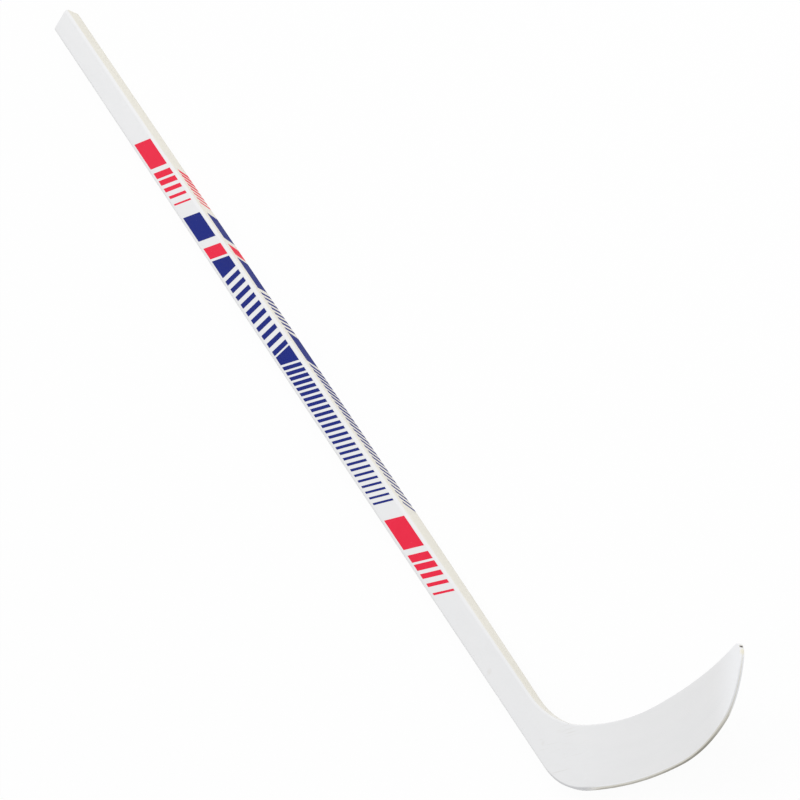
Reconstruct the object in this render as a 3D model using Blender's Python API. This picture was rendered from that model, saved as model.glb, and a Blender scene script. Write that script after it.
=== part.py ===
"""Wooden ice-hockey stick with a left-hand curve, built up from its glued laminations.

Frame: +X runs down the shaft from the butt to the heel, +Y points to the toe side, and +Z is the
front (forehand) face, so the stick lies on its back. The origin is the middle of the butt end.
The outline of shaft and blade is drawn flat. Every lamination is a loft through cross-sections
of that flat drawing, between two depths, and is bent to the curve of the blade as it is made.
The stick thins towards the toe mostly from its back, so its front face runs on into the blade.
"""

import bisect
import math
from dataclasses import dataclass

import bmesh
import bpy
from mathutils import Vector

# Shaft, in metres
SHAFT_LENGTH = 1.527          # butt to the corner of the heel, along the back edge
SHAFT_WIDTH = 0.030
SHAFT_THICKNESS = 0.020
CORNER_RADIUS = 0.004         # rounding of the long corners
BUTT_EASE = 0.0015            # rounding of the butt end
TAPER_LENGTH = 0.340          # the shaft thins over this length above the throat
TAPER_CURVE = 1.5             # power by which the thinning grows along that length
THINNED_FROM_BACK = 0.80      # share of all thinning that comes off the back face

# Blade outline, measured from the heel corner along and square to the bottom edge
LIE_ANGLE = math.radians(133.0)      # between the shaft and the bottom edge
HEEL_SLOPE = 0.122            # lift of the bottom edge towards the heel, per length
HEEL_LIFT_AT = 0.0832         # where that lift starts
TOE_LIFT_AT = 0.2108          # where the bottom edge starts to lift towards the toe
TOE_CORNER = (0.2836, 0.0231)
TOE_TIP = (0.2958, 0.0748)
CROWN = (0.0677, 0.0593)      # lowest place of the top edge
THROAT_SLOPE = 0.157          # rise of the top edge from the crown to the throat, per length
HEEL_RADIUS = 0.092
HEEL_LIFT_RADIUS = 0.870
TOE_LIFT_RADIUS = 0.335
TOE_CORNER_RADIUS = 0.060
TIP_RADIUS = 0.0165
CROWN_RADIUS = 0.493
THROAT_RADIUS = 0.157

# Curve of the blade, along the bottom edge from the heel corner
CURVE_START = 0.020
CURVE_END = 0.260
CURVE_OFFSET = 0.0550         # how far the front face bends forward until there

# Thickness of the whole stick below the shaft
THROAT_THICKNESS = 0.0138
HEEL_THICKNESS = 0.0096
MIDDLE_THICKNESS = 0.0062
TOE_THICKNESS = 0.0040
MIDDLE_AT = 0.100             # along the bottom edge
EDGE_ROUNDING = 0.20          # radius of the long edges, as a share of the thickness

# Laminations
GLUE_LINE = 0.0003
CORE_THICKNESS = 0.0050
TONGUE_THICKNESS = 0.0040     # of the blade's core, where it leaves the fork
TOE_CORE_THICKNESS = 0.0009
VENEER_THICKNESS = 0.0015
VENEER_FEATHER = 0.0004       # thinnest edge of the veneer where the taper is planed through it
GLASS_THICKNESS = 0.0006
FORK_ABOVE_THROAT = 0.050     # root of the fork
CLOTH_ABOVE_THROAT = 0.035    # edge of the blade's glass cloth
SCARF_SHARE = 0.60            # place of the scarf within the turn from shaft to blade
BLOCK_NOSE = 0.0035           # width of the throat block's blunt upper end

# Stations of the lofts
ARC_STEP = math.radians(2.0)
TAPER_STATIONS = 7
BUTT_STATIONS = 3
TURN_STATIONS = 16
BLADE_STATIONS = 12
TOE_STATIONS = 10
TIP_STATIONS = 3
TURN_END = 0.045              # the sections turn from the shaft's way to the blade's until here
TOE_START = 0.205             # from here the sections fan round the toe
LEAST_SPACING = 0.0002        # between two stations

# Colours (linear RGB) and roughness
IVORY_PAINT = ((0.81, 0.79, 0.72), 0.38)
WHITE_PAINT = ((0.81, 0.81, 0.80), 0.32)
PALE_WOOD = ((0.76, 0.72, 0.61), 0.50)
CREAM_WOOD = ((0.67, 0.60, 0.45), 0.55)
OLIVE_WOOD = ((0.27, 0.22, 0.13), 0.60)

FRONT = Vector((0.0, 0.0, 1.0))
DOWN_SHAFT = Vector((1.0, 0.0))
BLADE_TURN = math.pi - LIE_ANGLE
ALONG_BLADE = Vector((math.cos(BLADE_TURN), math.sin(BLADE_TURN)))
UP_BLADE = Vector((-math.sin(BLADE_TURN), math.cos(BLADE_TURN)))
HEEL = Vector((SHAFT_LENGTH, -SHAFT_WIDTH / 2))


def clear_scene():
    """Remove whatever the file holds."""
    for thing in list(bpy.data.objects):
        bpy.data.objects.remove(thing, do_unlink=True)


def mix(first, second, share):
    """Return the value or point at a share of the way from the first to the second."""
    return first + (second - first) * share


def on_blade(along, up):
    """Return the point of the flat drawing at measures taken from the heel corner."""
    return HEEL + ALONG_BLADE * along + UP_BLADE * up


def along_blade(place):
    """Return how far along the bottom edge a point of the flat drawing lies."""
    return (place - HEEL).dot(ALONG_BLADE)


def meeting(first, first_way, second, second_way):
    """Return the point where two lines meet."""
    across = first_way.x * second_way.y - first_way.y * second_way.x
    span = second - first
    return first + first_way * ((span.x * second_way.y - span.y * second_way.x) / across)


@dataclass(frozen=True)
class EdgePoint:
    """A point on an edge of the flat drawing, and the way into the wood from there."""

    place: Vector
    inward: Vector


@dataclass(frozen=True)
class Station:
    """A line across the flat drawing, from the back and bottom edge to the toe-side edge."""

    outer: EdgePoint
    inner: EdgePoint

    def sawn(self, height):
        """Return the point where this line crosses a saw cut that runs down the shaft."""
        start, end = self.outer.place, self.inner.place
        place = mix(start, end, (height - start.y) / (end.y - start.y))
        return EdgePoint(place, Vector((0.0, 0.0)))


class Edge:
    """A long edge of the flat drawing, measured along from the butt."""

    def __init__(self, points, side):
        """Take the edge's points, and 1 where the wood lies to its left or -1 to its right."""
        self.points = points
        self.side = side
        self.lengths = [0.0]
        for start, end in zip(points, points[1:]):
            self.lengths.append(self.lengths[-1] + (end - start).length)

    def at(self, length):
        """Return the edge point at a length from the butt."""
        index = bisect.bisect_right(self.lengths, length) - 1
        index = max(0, min(index, len(self.points) - 2))
        start, end = self.points[index], self.points[index + 1]
        way = (end - start).normalized()
        inward = Vector((-way.y, way.x)) * self.side
        return EdgePoint(start + way * (length - self.lengths[index]), inward)

    def crossed_by(self, start, way):
        """Return the length at which a line first crosses this edge."""
        sides = [way.x * (point.y - start.y) - way.y * (point.x - start.x) for point in self.points]
        for index, (before, after) in enumerate(zip(sides, sides[1:])):
            if before != after and before * after <= 0.0:
                return mix(self.lengths[index], self.lengths[index + 1], before / (before - after))
        raise ValueError("a station misses the edge of the stick")


def arc_points(before, corner, after, reach):
    """Return an odd number of points on the arc that rounds a corner, at a reach along its sides."""
    back = (before - corner).normalized()
    ahead = (after - corner).normalized()
    half = back.angle(ahead) / 2
    centre = corner + (back + ahead).normalized() * (reach / math.cos(half))
    spoke = corner + back * reach - centre
    turn = math.copysign(math.pi - 2 * half, ahead.x * back.y - ahead.y * back.x)
    steps = 2 * math.ceil(abs(turn) / ARC_STEP / 2)
    points = []
    for step in range(steps + 1):
        cosine = math.cos(turn * step / steps)
        sine = math.sin(turn * step / steps)
        turned = Vector((spoke.x * cosine - spoke.y * sine, spoke.x * sine + spoke.y * cosine))
        points.append(centre + turned)
    return points


def rounded_corners(corners, radii):
    """Return the arc of each inner corner, shortened where two arcs would overlap."""
    reaches = [0.0]
    for before, corner, after, radius in zip(corners, corners[1:], corners[2:], radii):
        half = (before - corner).angle(after - corner) / 2
        reaches.append(radius / math.tan(half))
    reaches.append(0.0)
    for index in range(len(corners) - 1):
        room = 0.999 * (corners[index + 1] - corners[index]).length
        excess = (reaches[index] + reaches[index + 1]) / room
        if excess > 1.0:
            reaches[index] /= excess
            reaches[index + 1] /= excess
    inner = zip(corners, corners[1:], corners[2:], reaches[1:])
    return [arc_points(before, corner, after, reach) for before, corner, after, reach in inner]


class Stick:
    """The flat drawing of the stick, its stations, and the depths of its glue lines.

    A station is named by a number: 0 to 1 runs down the shaft to the throat, 1 to 2 through the
    turn into the blade, 2 to 3 along the blade, 3 to 4 round the toe and 4 to 5 over its tip.
    """

    def __init__(self):
        """Draw the outline and find the places that the pieces share."""
        butt_back = Vector((0.0, -SHAFT_WIDTH / 2))
        butt_toe = Vector((0.0, SHAFT_WIDTH / 2))
        heel_lift = on_blade(HEEL_LIFT_AT, 0.0)
        crown = on_blade(*CROWN)
        to_heel = HEEL_SLOPE * UP_BLADE - ALONG_BLADE
        to_throat = THROAT_SLOPE * UP_BLADE - ALONG_BLADE
        corners = [
            butt_back,
            meeting(HEEL, DOWN_SHAFT, heel_lift, to_heel),
            heel_lift,
            on_blade(TOE_LIFT_AT, 0.0),
            on_blade(*TOE_CORNER),
            on_blade(*TOE_TIP),
            crown,
            meeting(butt_toe, DOWN_SHAFT, crown, to_throat),
            butt_toe,
        ]
        radii = [HEEL_RADIUS, HEEL_LIFT_RADIUS, TOE_LIFT_RADIUS, TOE_CORNER_RADIUS, TIP_RADIUS,
                 CROWN_RADIUS, THROAT_RADIUS]
        heel, lift, toe_lift, toe_corner, tip, top, throat = rounded_corners(corners, radii)
        middle = len(tip) // 2
        outer_points = [butt_back] + heel + lift + toe_lift + toe_corner + tip[:middle + 1]
        inner_points = [butt_toe] + throat[::-1] + top[::-1] + tip[:middle - 1:-1]
        self.outer = Edge(outer_points, 1)
        self.inner = Edge(inner_points, -1)
        self.throat_start = throat[-1].x
        self.throat_along = along_blade(throat[-1])
        tip_half = zip(tip[middle:], tip[middle + 1:])
        self.tip_length = sum((end - start).length for start, end in tip_half)
        self.turn_end = self.inner.crossed_by(on_blade(TURN_END, 0.0), UP_BLADE)
        self.taper_start = self.throat_start - TAPER_LENGTH
        self.veneer_top = SHAFT_THICKNESS / 2 - GLASS_THICKNESS - GLUE_LINE
        self.lamination_top = self.veneer_top - VENEER_THICKNESS - GLUE_LINE
        self.veneer_end = self.find_veneer_end()
        self.shared = self.shared_stations()

    def find_veneer_end(self):
        """Return how far down the shaft the taper is planed through the veneer."""
        least = self.lamination_top + 2 * GLUE_LINE + VENEER_FEATHER + GLASS_THICKNESS
        planed = (SHAFT_THICKNESS / 2 - least) / (SHAFT_THICKNESS / 2 - THROAT_THICKNESS / 2)
        return self.taper_start + TAPER_LENGTH * min(1.0, planed) ** (1 / TAPER_CURVE)

    def shared_stations(self):
        """Return the stations that every lamination is lofted through."""
        numbers = [0.0]
        for step in range(1, BUTT_STATIONS + 1):
            angle = math.pi / 2 * step / BUTT_STATIONS
            numbers.append(self.down_shaft(BUTT_EASE * (1 - math.cos(angle))))
        for step in range(TAPER_STATIONS):
            numbers.append(self.down_shaft(self.taper_start + TAPER_LENGTH * step / TAPER_STATIONS))
        numbers += [1 + step / TURN_STATIONS for step in range(TURN_STATIONS)]
        numbers += [2 + step / BLADE_STATIONS for step in range(BLADE_STATIONS)]
        numbers += [3 + step / TOE_STATIONS for step in range(TOE_STATIONS)]
        numbers += [4 + step / (TIP_STATIONS + 0.5) for step in range(TIP_STATIONS + 1)]
        return numbers

    def down_shaft(self, length):
        """Return the number of the station at a length from the butt, above the throat."""
        return length / self.throat_start

    def between(self, first, last):
        """Return the numbers of a piece's stations, from its first to its last."""
        kept = [first]
        start, end = self.station(first).inner.place, self.station(last).inner.place
        for number in self.shared:
            place = self.station(number).inner.place
            room = min((place - start).length, (place - end).length)
            if first < number < last and room > LEAST_SPACING:
                kept.append(number)
        return kept + [last]

    def station(self, number):
        """Return the station with a number."""
        if number <= 1:
            length = number * self.throat_start
            return Station(self.outer.at(length), self.inner.at(length))
        if number <= 2:
            share = number - 1
            inner = self.inner.at(mix(self.throat_start, self.turn_end, share))
            angle = math.pi / 2 + BLADE_TURN * share
            way = Vector((math.cos(angle), math.sin(angle)))
            return Station(self.outer.at(self.outer.crossed_by(inner.place, way)), inner)
        if number <= 3:
            return self.blade_station(mix(TURN_END, TOE_START, number - 2))
        return self.toe_station(number)

    def blade_station(self, along):
        """Return the station square to the bottom edge at a length along it."""
        foot = on_blade(along, 0.0)
        outer = self.outer.at(self.outer.crossed_by(foot, UP_BLADE))
        inner = self.inner.at(self.inner.crossed_by(foot, UP_BLADE))
        return Station(outer, inner)

    def toe_station(self, number):
        """Return a station that fans round the toe, down to a short one across the tip."""
        foot = on_blade(TOE_START, 0.0)
        points = []
        for edge in (self.outer, self.inner):
            start = edge.crossed_by(foot, UP_BLADE)
            tip_start = edge.lengths[-1] - self.tip_length
            if number <= 4:
                points.append(edge.at(mix(start, tip_start, number - 3)))
            else:
                points.append(edge.at(mix(tip_start, edge.lengths[-1], number - 4)))
        return Station(*points)

    def surface(self, place):
        """Return the depth of the stick's surface below or above its middle plane."""
        if place.x < self.throat_start:
            planed = max(0.0, (place.x - self.taper_start) / TAPER_LENGTH)
            return mix(SHAFT_THICKNESS, THROAT_THICKNESS, planed ** TAPER_CURVE) / 2
        along = along_blade(place)
        if along < 0.0:
            thickness = mix(HEEL_THICKNESS, THROAT_THICKNESS, min(1.0, along / self.throat_along))
        elif along < MIDDLE_AT:
            thickness = mix(HEEL_THICKNESS, MIDDLE_THICKNESS, along / MIDDLE_AT)
        else:
            share = (along - MIDDLE_AT) / (CURVE_END - MIDDLE_AT)
            thickness = mix(MIDDLE_THICKNESS, TOE_THICKNESS, share)
        return thickness / 2

    def eased(self, place):
        """Return the depth of the surface, less the rounding of the butt end."""
        return self.surface(place) - self.butt_ease(place)

    def under_glass(self, place):
        """Return the depth of the underside of the glass."""
        return self.surface(place) - GLASS_THICKNESS

    def wood_top(self, place):
        """Return the depth of the top of the wood that the glass is glued to."""
        return self.under_glass(place) - GLUE_LINE

    def veneer_bottom(self, place):
        """Return the depth of the flat glue face that the veneer lies on."""
        return self.lamination_top + GLUE_LINE

    def lamination_face(self, place):
        """Return the depth of the top of a lamination, flat down to the end of the veneer."""
        if place.x < self.veneer_end + 1.5 * GLUE_LINE:
            return self.lamination_top
        return self.wood_top(place)

    def core_face(self, place):
        """Return half the thickness of the core and, below the fork, of the blade's tongue."""
        root = self.throat_start - FORK_ABOVE_THROAT
        share = min(1.0, max(0.0, (place.x - root) / (SHAFT_LENGTH - root)))
        tongue = mix(CORE_THICKNESS, TONGUE_THICKNESS, share)
        blade = mix(TONGUE_THICKNESS, TOE_CORE_THICKNESS, along_blade(place) / CURVE_END)
        return min(tongue, blade) / 2

    def core_under(self, place):
        """Return the depth of the other side of the core."""
        return -self.core_face(place)

    def over_core(self, place):
        """Return the depth of the bottom of the wood that is glued on the core."""
        return self.core_face(place) + GLUE_LINE

    def butt_ease(self, place):
        """Return how far the stick's surfaces stand back where the butt end is rounded."""
        short = min(BUTT_EASE, max(0.0, BUTT_EASE - place.x))
        return BUTT_EASE - math.sqrt(BUTT_EASE ** 2 - short ** 2)

    def rounding(self, place, depth):
        """Return how far the rounded edge stands back at a depth."""
        half = self.surface(place)
        radius = min(CORNER_RADIUS, 2 * half * EDGE_ROUNDING)
        over = min(radius, abs(depth) - (half - radius))
        if over <= 0.0:
            return 0.0
        return radius - math.sqrt(radius ** 2 - over ** 2)

    def bent(self, place, depth):
        """Carry a point of the flat drawing, at a depth, onto the curve of the blade."""
        span = CURVE_END - CURVE_START
        share = max(0.0, along_blade(place) - CURVE_START) / span
        slope = 2 * CURVE_OFFSET * share / span
        outward = (FRONT - slope * ALONG_BLADE.to_3d()).normalized()
        thinned = SHAFT_THICKNESS / 2 - self.surface(place)
        middle = (2 * THINNED_FROM_BACK - 1) * thinned + CURVE_OFFSET * share ** 2
        return Vector((place.x, place.y, middle)) + outward * depth


@dataclass(frozen=True)
class Layer:
    """The two depths that a piece lies between, and how finely its section is drawn."""

    low: callable
    high: callable
    levels: tuple
    strips: int


def section(stick, layer, station, side):
    """Return the ring of points round a layer at a station, on the front or the back side."""

    def side_points(edge_point):
        """Return the flat places up one side of the section, on the rounding of the edge."""
        places = []
        for level in layer.levels:
            depth = mix(layer.low(edge_point.place), layer.high(edge_point.place), level)
            inset = stick.rounding(edge_point.place, depth) + stick.butt_ease(edge_point.place)
            places.append(edge_point.place + edge_point.inward * inset)
        return places

    def solid_point(place, level):
        """Return the point in space at a level between the layer's two faces."""
        depth = mix(layer.low(place), min(layer.high(place), stick.eased(place)), level)
        return stick.bent(place, side * depth)

    outer = side_points(station.outer)
    inner = side_points(station.inner)
    ring = [solid_point(place, level) for place, level in zip(outer, layer.levels)]
    for strip in range(1, layer.strips):
        ring.append(solid_point(mix(outer[-1], inner[-1], strip / layer.strips), 1.0))
    ring += [solid_point(place, level) for place, level in zip(inner[::-1], layer.levels[::-1])]
    for strip in range(1, layer.strips):
        ring.append(solid_point(mix(inner[0], outer[0], strip / layer.strips), 0.0))
    return ring


def loft(name, rings, finish, home):
    """Make one closed piece through rings of points, with its own material."""
    shape = bmesh.new()
    loops = [[shape.verts.new(point) for point in ring] for ring in rings]
    for near, far in zip(loops, loops[1:]):
        for index in range(len(near)):
            shape.faces.new((near[index - 1], near[index], far[index], far[index - 1]))
    shape.faces.new(loops[0][::-1])
    shape.faces.new(loops[-1])
    if shape.calc_volume(signed=True) < 0.0:
        bmesh.ops.reverse_faces(shape, faces=shape.faces)
    mesh = bpy.data.meshes.new(name)
    shape.to_mesh(mesh)
    shape.free()
    piece = bpy.data.objects.new(name, mesh)
    home.objects.link(piece)
    mesh.materials.append(painted(name, *finish))
    return piece


def painted(name, colour, roughness):
    """Make a plain material."""
    material = bpy.data.materials.new(name)
    material.use_nodes = True
    shader = material.node_tree.nodes["Principled BSDF"]
    shader.inputs["Base Color"].default_value = (*colour, 1.0)
    shader.inputs["Roughness"].default_value = roughness
    shader.inputs["Metallic"].default_value = 0.0
    material.diffuse_color = (*colour, 1.0)
    return material


class Bench:
    """Glues the pieces of one stick together, each made between its own stations."""

    def __init__(self, home):
        """Lay out the stick and mark the places where pieces end."""
        self.home = home
        self.stick = Stick()
        self.fork_root = self.stick.throat_start - FORK_ABOVE_THROAT
        self.cloth_edge = self.stick.throat_start - CLOTH_ABOVE_THROAT
        turn_length = self.stick.turn_end - self.stick.throat_start
        nose_side = Vector((0.0, SHAFT_WIDTH / 2 + BLOCK_NOSE))
        nose_at = self.stick.inner.crossed_by(nose_side, DOWN_SHAFT)
        self.nose = 1 + (nose_at - self.stick.throat_start) / turn_length
        self.scarf = 1 + SCARF_SHARE
        self.turn_gap = GLUE_LINE / turn_length
        self.tip = self.stick.shared[-1]

    def glue(self, name, layer, stations, finish, side=1):
        """Make one piece from its layer and stations."""
        rings = [section(self.stick, layer, station, side) for station in stations]
        loft(name, rings, finish, self.home)

    def stations(self, first, last):
        """Return the whole-width stations from one number to another."""
        return [self.stick.station(number) for number in self.stick.between(first, last)]

    def shaft_core(self):
        """Make the shaft's middle lamination, down to the root of the fork."""
        layer = Layer(self.stick.core_under, self.stick.core_face, (0.0, 1.0), 4)
        end = self.stick.down_shaft(self.fork_root)
        self.glue("shaft_core", layer, self.stations(0.0, end), IVORY_PAINT)

    def shaft_lamination(self, name, side):
        """Make an outer lamination, which runs on as a cheek of the fork to the scarf."""
        stick = self.stick
        layer = Layer(stick.over_core, stick.lamination_face, (0.0, 0.4, 0.8, 1.0), 4)
        rebate = stick.down_shaft(stick.veneer_end + GLUE_LINE)
        above_rebate = self.stations(0.0, rebate)
        below = stick.down_shaft(stick.veneer_end + 2 * GLUE_LINE)
        above_nose = self.stations(below, self.nose - self.turn_gap)
        beside_block = []
        for station in self.stations(self.nose, self.scarf):
            beside_block.append(Station(station.outer, station.sawn(SHAFT_WIDTH / 2)))
        stations = above_rebate + above_nose + beside_block
        self.glue(name, layer, stations, IVORY_PAINT, side)

    def shaft_veneer(self, name, side):
        """Make the birch veneer on an outer lamination, planed away by the taper."""
        layer = Layer(self.stick.veneer_bottom, self.stick.wood_top, (0.0, 0.5, 0.8, 1.0), 4)
        end = self.stick.down_shaft(self.stick.veneer_end)
        self.glue(name, layer, self.stations(0.0, end), PALE_WOOD, side)

    def shaft_glass(self, name, side):
        """Make the glass sheet on a broad face of the shaft, under its paint."""
        layer = Layer(self.stick.under_glass, self.stick.surface, (0.0, 0.35, 0.65, 0.88, 1.0), 4)
        stand_back = BUTT_EASE - GLASS_THICKNESS / 2
        start = self.stick.down_shaft(BUTT_EASE - math.sqrt(BUTT_EASE ** 2 - stand_back ** 2))
        end = self.stick.down_shaft(self.cloth_edge - GLUE_LINE)
        self.glue(name, layer, self.stations(start, end), WHITE_PAINT, side)

    def throat_block(self, name, side):
        """Make the wedge beside a cheek of the fork that widens the throat."""
        layer = Layer(self.stick.over_core, self.stick.wood_top, (0.0, 0.4, 0.7, 0.9, 1.0), 3)
        stations = []
        for station in self.stations(self.nose + self.turn_gap, self.scarf):
            stations.append(Station(station.sawn(SHAFT_WIDTH / 2 + GLUE_LINE), station.inner))
        self.glue(name, layer, stations, IVORY_PAINT, side)

    def blade_core(self):
        """Make the blade's middle ply, with the tongue that is glued into the fork."""
        layer = Layer(self.stick.core_under, self.stick.core_face, (0.0, 0.5, 1.0), 6)
        start = self.stick.down_shaft(self.fork_root + GLUE_LINE)
        self.glue("blade_core", layer, self.stations(start, self.tip), CREAM_WOOD)

    def blade_ply(self, name, side):
        """Make a face ply of the blade, from the scarf to the tip."""
        layer = Layer(self.stick.over_core, self.stick.wood_top, (0.0, 0.4, 0.75, 1.0), 6)
        start = self.scarf + self.turn_gap
        self.glue(name, layer, self.stations(start, self.tip), OLIVE_WOOD, side)

    def blade_skin(self, name, side):
        """Make the glass cloth over a face of the blade and the throat."""
        layer = Layer(self.stick.under_glass, self.stick.surface, (0.0, 0.35, 0.65, 0.88, 1.0), 6)
        start = self.stick.down_shaft(self.cloth_edge)
        self.glue(name, layer, self.stations(start, self.tip), WHITE_PAINT, side)


def main():
    """Build the stick."""
    clear_scene()
    home = bpy.data.collections.new("hockey_stick")
    bpy.context.scene.collection.children.link(home)
    bench = Bench(home)
    bench.shaft_core()
    bench.blade_core()
    for face, side in (("front", 1), ("back", -1)):
        bench.shaft_lamination(f"shaft_lamination_{face}", side)
        bench.shaft_veneer(f"shaft_veneer_{face}", side)
        bench.shaft_glass(f"shaft_glass_{face}", side)
        bench.throat_block(f"throat_block_{face}", side)
        bench.blade_ply(f"blade_ply_{face}", side)
        bench.blade_skin(f"blade_skin_{face}", side)


main()
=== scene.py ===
"""Looks of a painted wooden ice-hockey stick, laid over its packed laminations.

Frame: +X runs down the shaft from the butt to the heel, +Y points to the toe side, and +Z is the
front (forehand) face. Everything is in metres. Each glued piece of the stick is lofted again here
with smooth edges and no glue gaps, and stands for its plain solid. The printed bands are thin ink
films on the shaft, and their repeated bars are made by one Geometry Nodes tree.
"""

import bisect
import logging
import math
from dataclasses import dataclass, field
from enum import Enum
from itertools import accumulate
from typing import Callable, Optional, Sequence

import bmesh
import bpy
from mathutils import Matrix, Vector

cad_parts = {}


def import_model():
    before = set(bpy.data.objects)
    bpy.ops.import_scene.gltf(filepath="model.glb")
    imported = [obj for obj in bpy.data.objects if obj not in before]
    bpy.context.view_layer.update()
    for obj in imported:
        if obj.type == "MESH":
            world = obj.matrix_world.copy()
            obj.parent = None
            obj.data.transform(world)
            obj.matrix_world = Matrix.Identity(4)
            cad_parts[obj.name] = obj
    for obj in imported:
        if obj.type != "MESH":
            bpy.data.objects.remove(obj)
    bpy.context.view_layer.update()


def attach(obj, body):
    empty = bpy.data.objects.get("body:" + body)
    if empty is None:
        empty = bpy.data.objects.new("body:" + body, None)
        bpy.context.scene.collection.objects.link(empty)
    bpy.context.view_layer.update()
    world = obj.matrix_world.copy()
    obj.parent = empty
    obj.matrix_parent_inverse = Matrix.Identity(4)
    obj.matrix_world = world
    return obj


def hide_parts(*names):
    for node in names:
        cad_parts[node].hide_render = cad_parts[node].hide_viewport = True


BODY = "root"
GRAIN_MAP = "run"
IVORY = "ivory"
BARE = "bare"
STAIN = "stain"
# How white the paint is, from grey to the whitest; partly painted highlight and painted shade.
PAINTED_LIGHT_AND_WHITENESS = "fresh"
EVEN = (1.0, 1.0, 1.0)
REPORT = logging.getLogger("hockey_stick")

Span = tuple[float, float]
Triple = tuple[float, float, float]
Depth = Callable[[Vector], float]
Material = bpy.types.Material
Node = bpy.types.Node
Socket = bpy.types.NodeSocket


class Face(Enum):
    """The four long faces of the shaft, each with the Y and Z of the way it faces."""

    FRONT = (0, 1)
    TOE_SIDE = (1, 0)
    BACK = (0, -1)
    HEEL_SIDE = (-1, 0)


class Cover(Enum):
    """What a mesh face of a glued piece shows."""

    OUTSIDE = 0
    GLUED = 1
    SAWN_END = 2


class Zone(Enum):
    """Where a ring point lies: on the back and bottom edge, on the other one or between them."""

    OUTER = -1
    BETWEEN = 0
    INNER = 1


def mix(first: float, second: float, share: float) -> float:
    """Return the number or point at a share of the way from the first to the second."""
    return first + (second - first) * share


def clamp(value: float, low: float = 0.0, high: float = 1.0) -> float:
    """Return the nearest number between a low and a high one."""
    return min(high, max(low, value))


def rise(span: Span, value: float) -> float:
    """Return 0 below a span of values and 1 above it, with a smooth rise between."""
    share = clamp((value - span[0]) / (span[1] - span[0]))
    return share * share * (3.0 - 2.0 * share)


def fall(span: Span, value: float) -> float:
    """Return 1 below a span of values and 0 above it, with a smooth fall between."""
    return 1.0 - rise(span, value)


def cross(first: Vector, second: Vector) -> float:
    """Return the cross product of two flat ways."""
    return first.x * second.y - first.y * second.x


def turned(way: Vector, angle: float) -> Vector:
    """Return a flat way, turned to the left."""
    cosine, sine = math.cos(angle), math.sin(angle)
    return Vector((way.x * cosine - way.y * sine, way.x * sine + way.y * cosine))


def meeting(first: Vector, first_way: Vector, second: Vector, second_way: Vector) -> Vector:
    """Return the point where two flat lines meet, each given by a point and its way."""
    share = cross(second - first, second_way) / cross(first_way, second_way)
    return first + first_way * share


def distances(points: Sequence[Vector]) -> list[float]:
    """Return how far along a chain of points each one lies."""
    steps = ((end - start).length for start, end in zip(points, points[1:]))
    return list(accumulate(steps, initial=0.0))


def step_of(values: Sequence[float], value: float) -> int:
    """Return the index of the step of a rising list that a value falls in."""
    return min(len(values) - 2, max(0, bisect.bisect_right(values, value) - 1))


def broken_line(knots: Sequence[float], heights: Sequence[float], value: float) -> float:
    """Return the height of a broken line, whose first and last steps run on.

    Args:
        knots: Where its corners are.
        heights: Their heights.
        value: Where the height is wanted.

    Returns:
        The height.
    """
    index = step_of(knots, value)
    share = (value - knots[index]) / (knots[index + 1] - knots[index])
    return mix(heights[index], heights[index + 1], share)


@dataclass(frozen=True)
class StickSizes:
    """The measures of the stick that shaft, throat and blade share, in metres and radians."""

    shaft_length: float = 1.527
    shaft_width: float = 0.030
    shaft_thickness: float = 0.020
    corner_radius: float = 0.004
    butt_ease: float = 0.0015
    taper_length: float = 0.340
    taper_curve: float = 1.5
    thinned_from_back: float = 0.80
    lie_angle: float = math.radians(133.0)
    heel_slope: float = 0.122
    heel_lift_at: float = 0.0832
    toe_lift_at: float = 0.2108
    toe_corner: Span = (0.2836, 0.0231)
    toe_tip: Span = (0.2958, 0.0748)
    crown: Span = (0.0677, 0.0593)
    throat_slope: float = 0.157
    edge_radii: tuple[float, ...] = (0.092, 0.870, 0.335, 0.060, 0.0165, 0.493, 0.157)
    curve_start: float = 0.020
    curve_end: float = 0.260
    curve_offset: float = 0.0550
    throat_thickness: float = 0.0138
    heel_thickness: float = 0.0096
    middle_thickness: float = 0.0062
    toe_thickness: float = 0.0040
    middle_at: float = 0.100
    edge_rounding: float = 0.20
    glue_line: float = 0.0003
    core_thickness: float = 0.0050
    tongue_thickness: float = 0.0040
    toe_core_thickness: float = 0.0009
    veneer_thickness: float = 0.0015
    veneer_feather: float = 0.0004
    glass_thickness: float = 0.0006
    fork_above_throat: float = 0.050
    cloth_above_throat: float = 0.035
    scarf_share: float = 0.60
    block_nose: float = 0.0035
    turn_end: float = 0.045
    toe_start: float = 0.205
    ink_room: float = 0.00006
    step_gap: float = 0.00001


@dataclass(frozen=True)
class LoftSteps:
    """Into how many steps the stick is cut from the butt to the tip, and their least spacing."""

    ease: int = 7
    shaft: int = 8
    taper: int = 14
    turn: int = 36
    blade: int = 26
    toe: int = 26
    tip: int = 9
    tip_share: float = 3 / 3.5
    after_ease: float = 3.0
    least_spacing: float = 0.00015
    arc: float = math.radians(2.0)


@dataclass(frozen=True)
class EdgePoint:
    """A point on an edge of the flat drawing, and the way into the wood from there."""

    place: Vector
    inward: Vector


@dataclass(frozen=True)
class Station:
    """A line across the flat drawing, from the back and bottom edge to the toe-side edge."""

    outer: EdgePoint
    inner: EdgePoint
    run: float

    def width(self) -> float:
        """Return the length of the line."""
        return (self.inner.place - self.outer.place).length

    def sawn(self, height: float) -> EdgePoint:
        """Return where a saw cut down the shaft crosses this line, which no rounding moves."""
        start, end = self.outer.place, self.inner.place
        return EdgePoint(mix(start, end, (height - start.y) / (end.y - start.y)), Vector((0.0, 0.0)))


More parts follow.
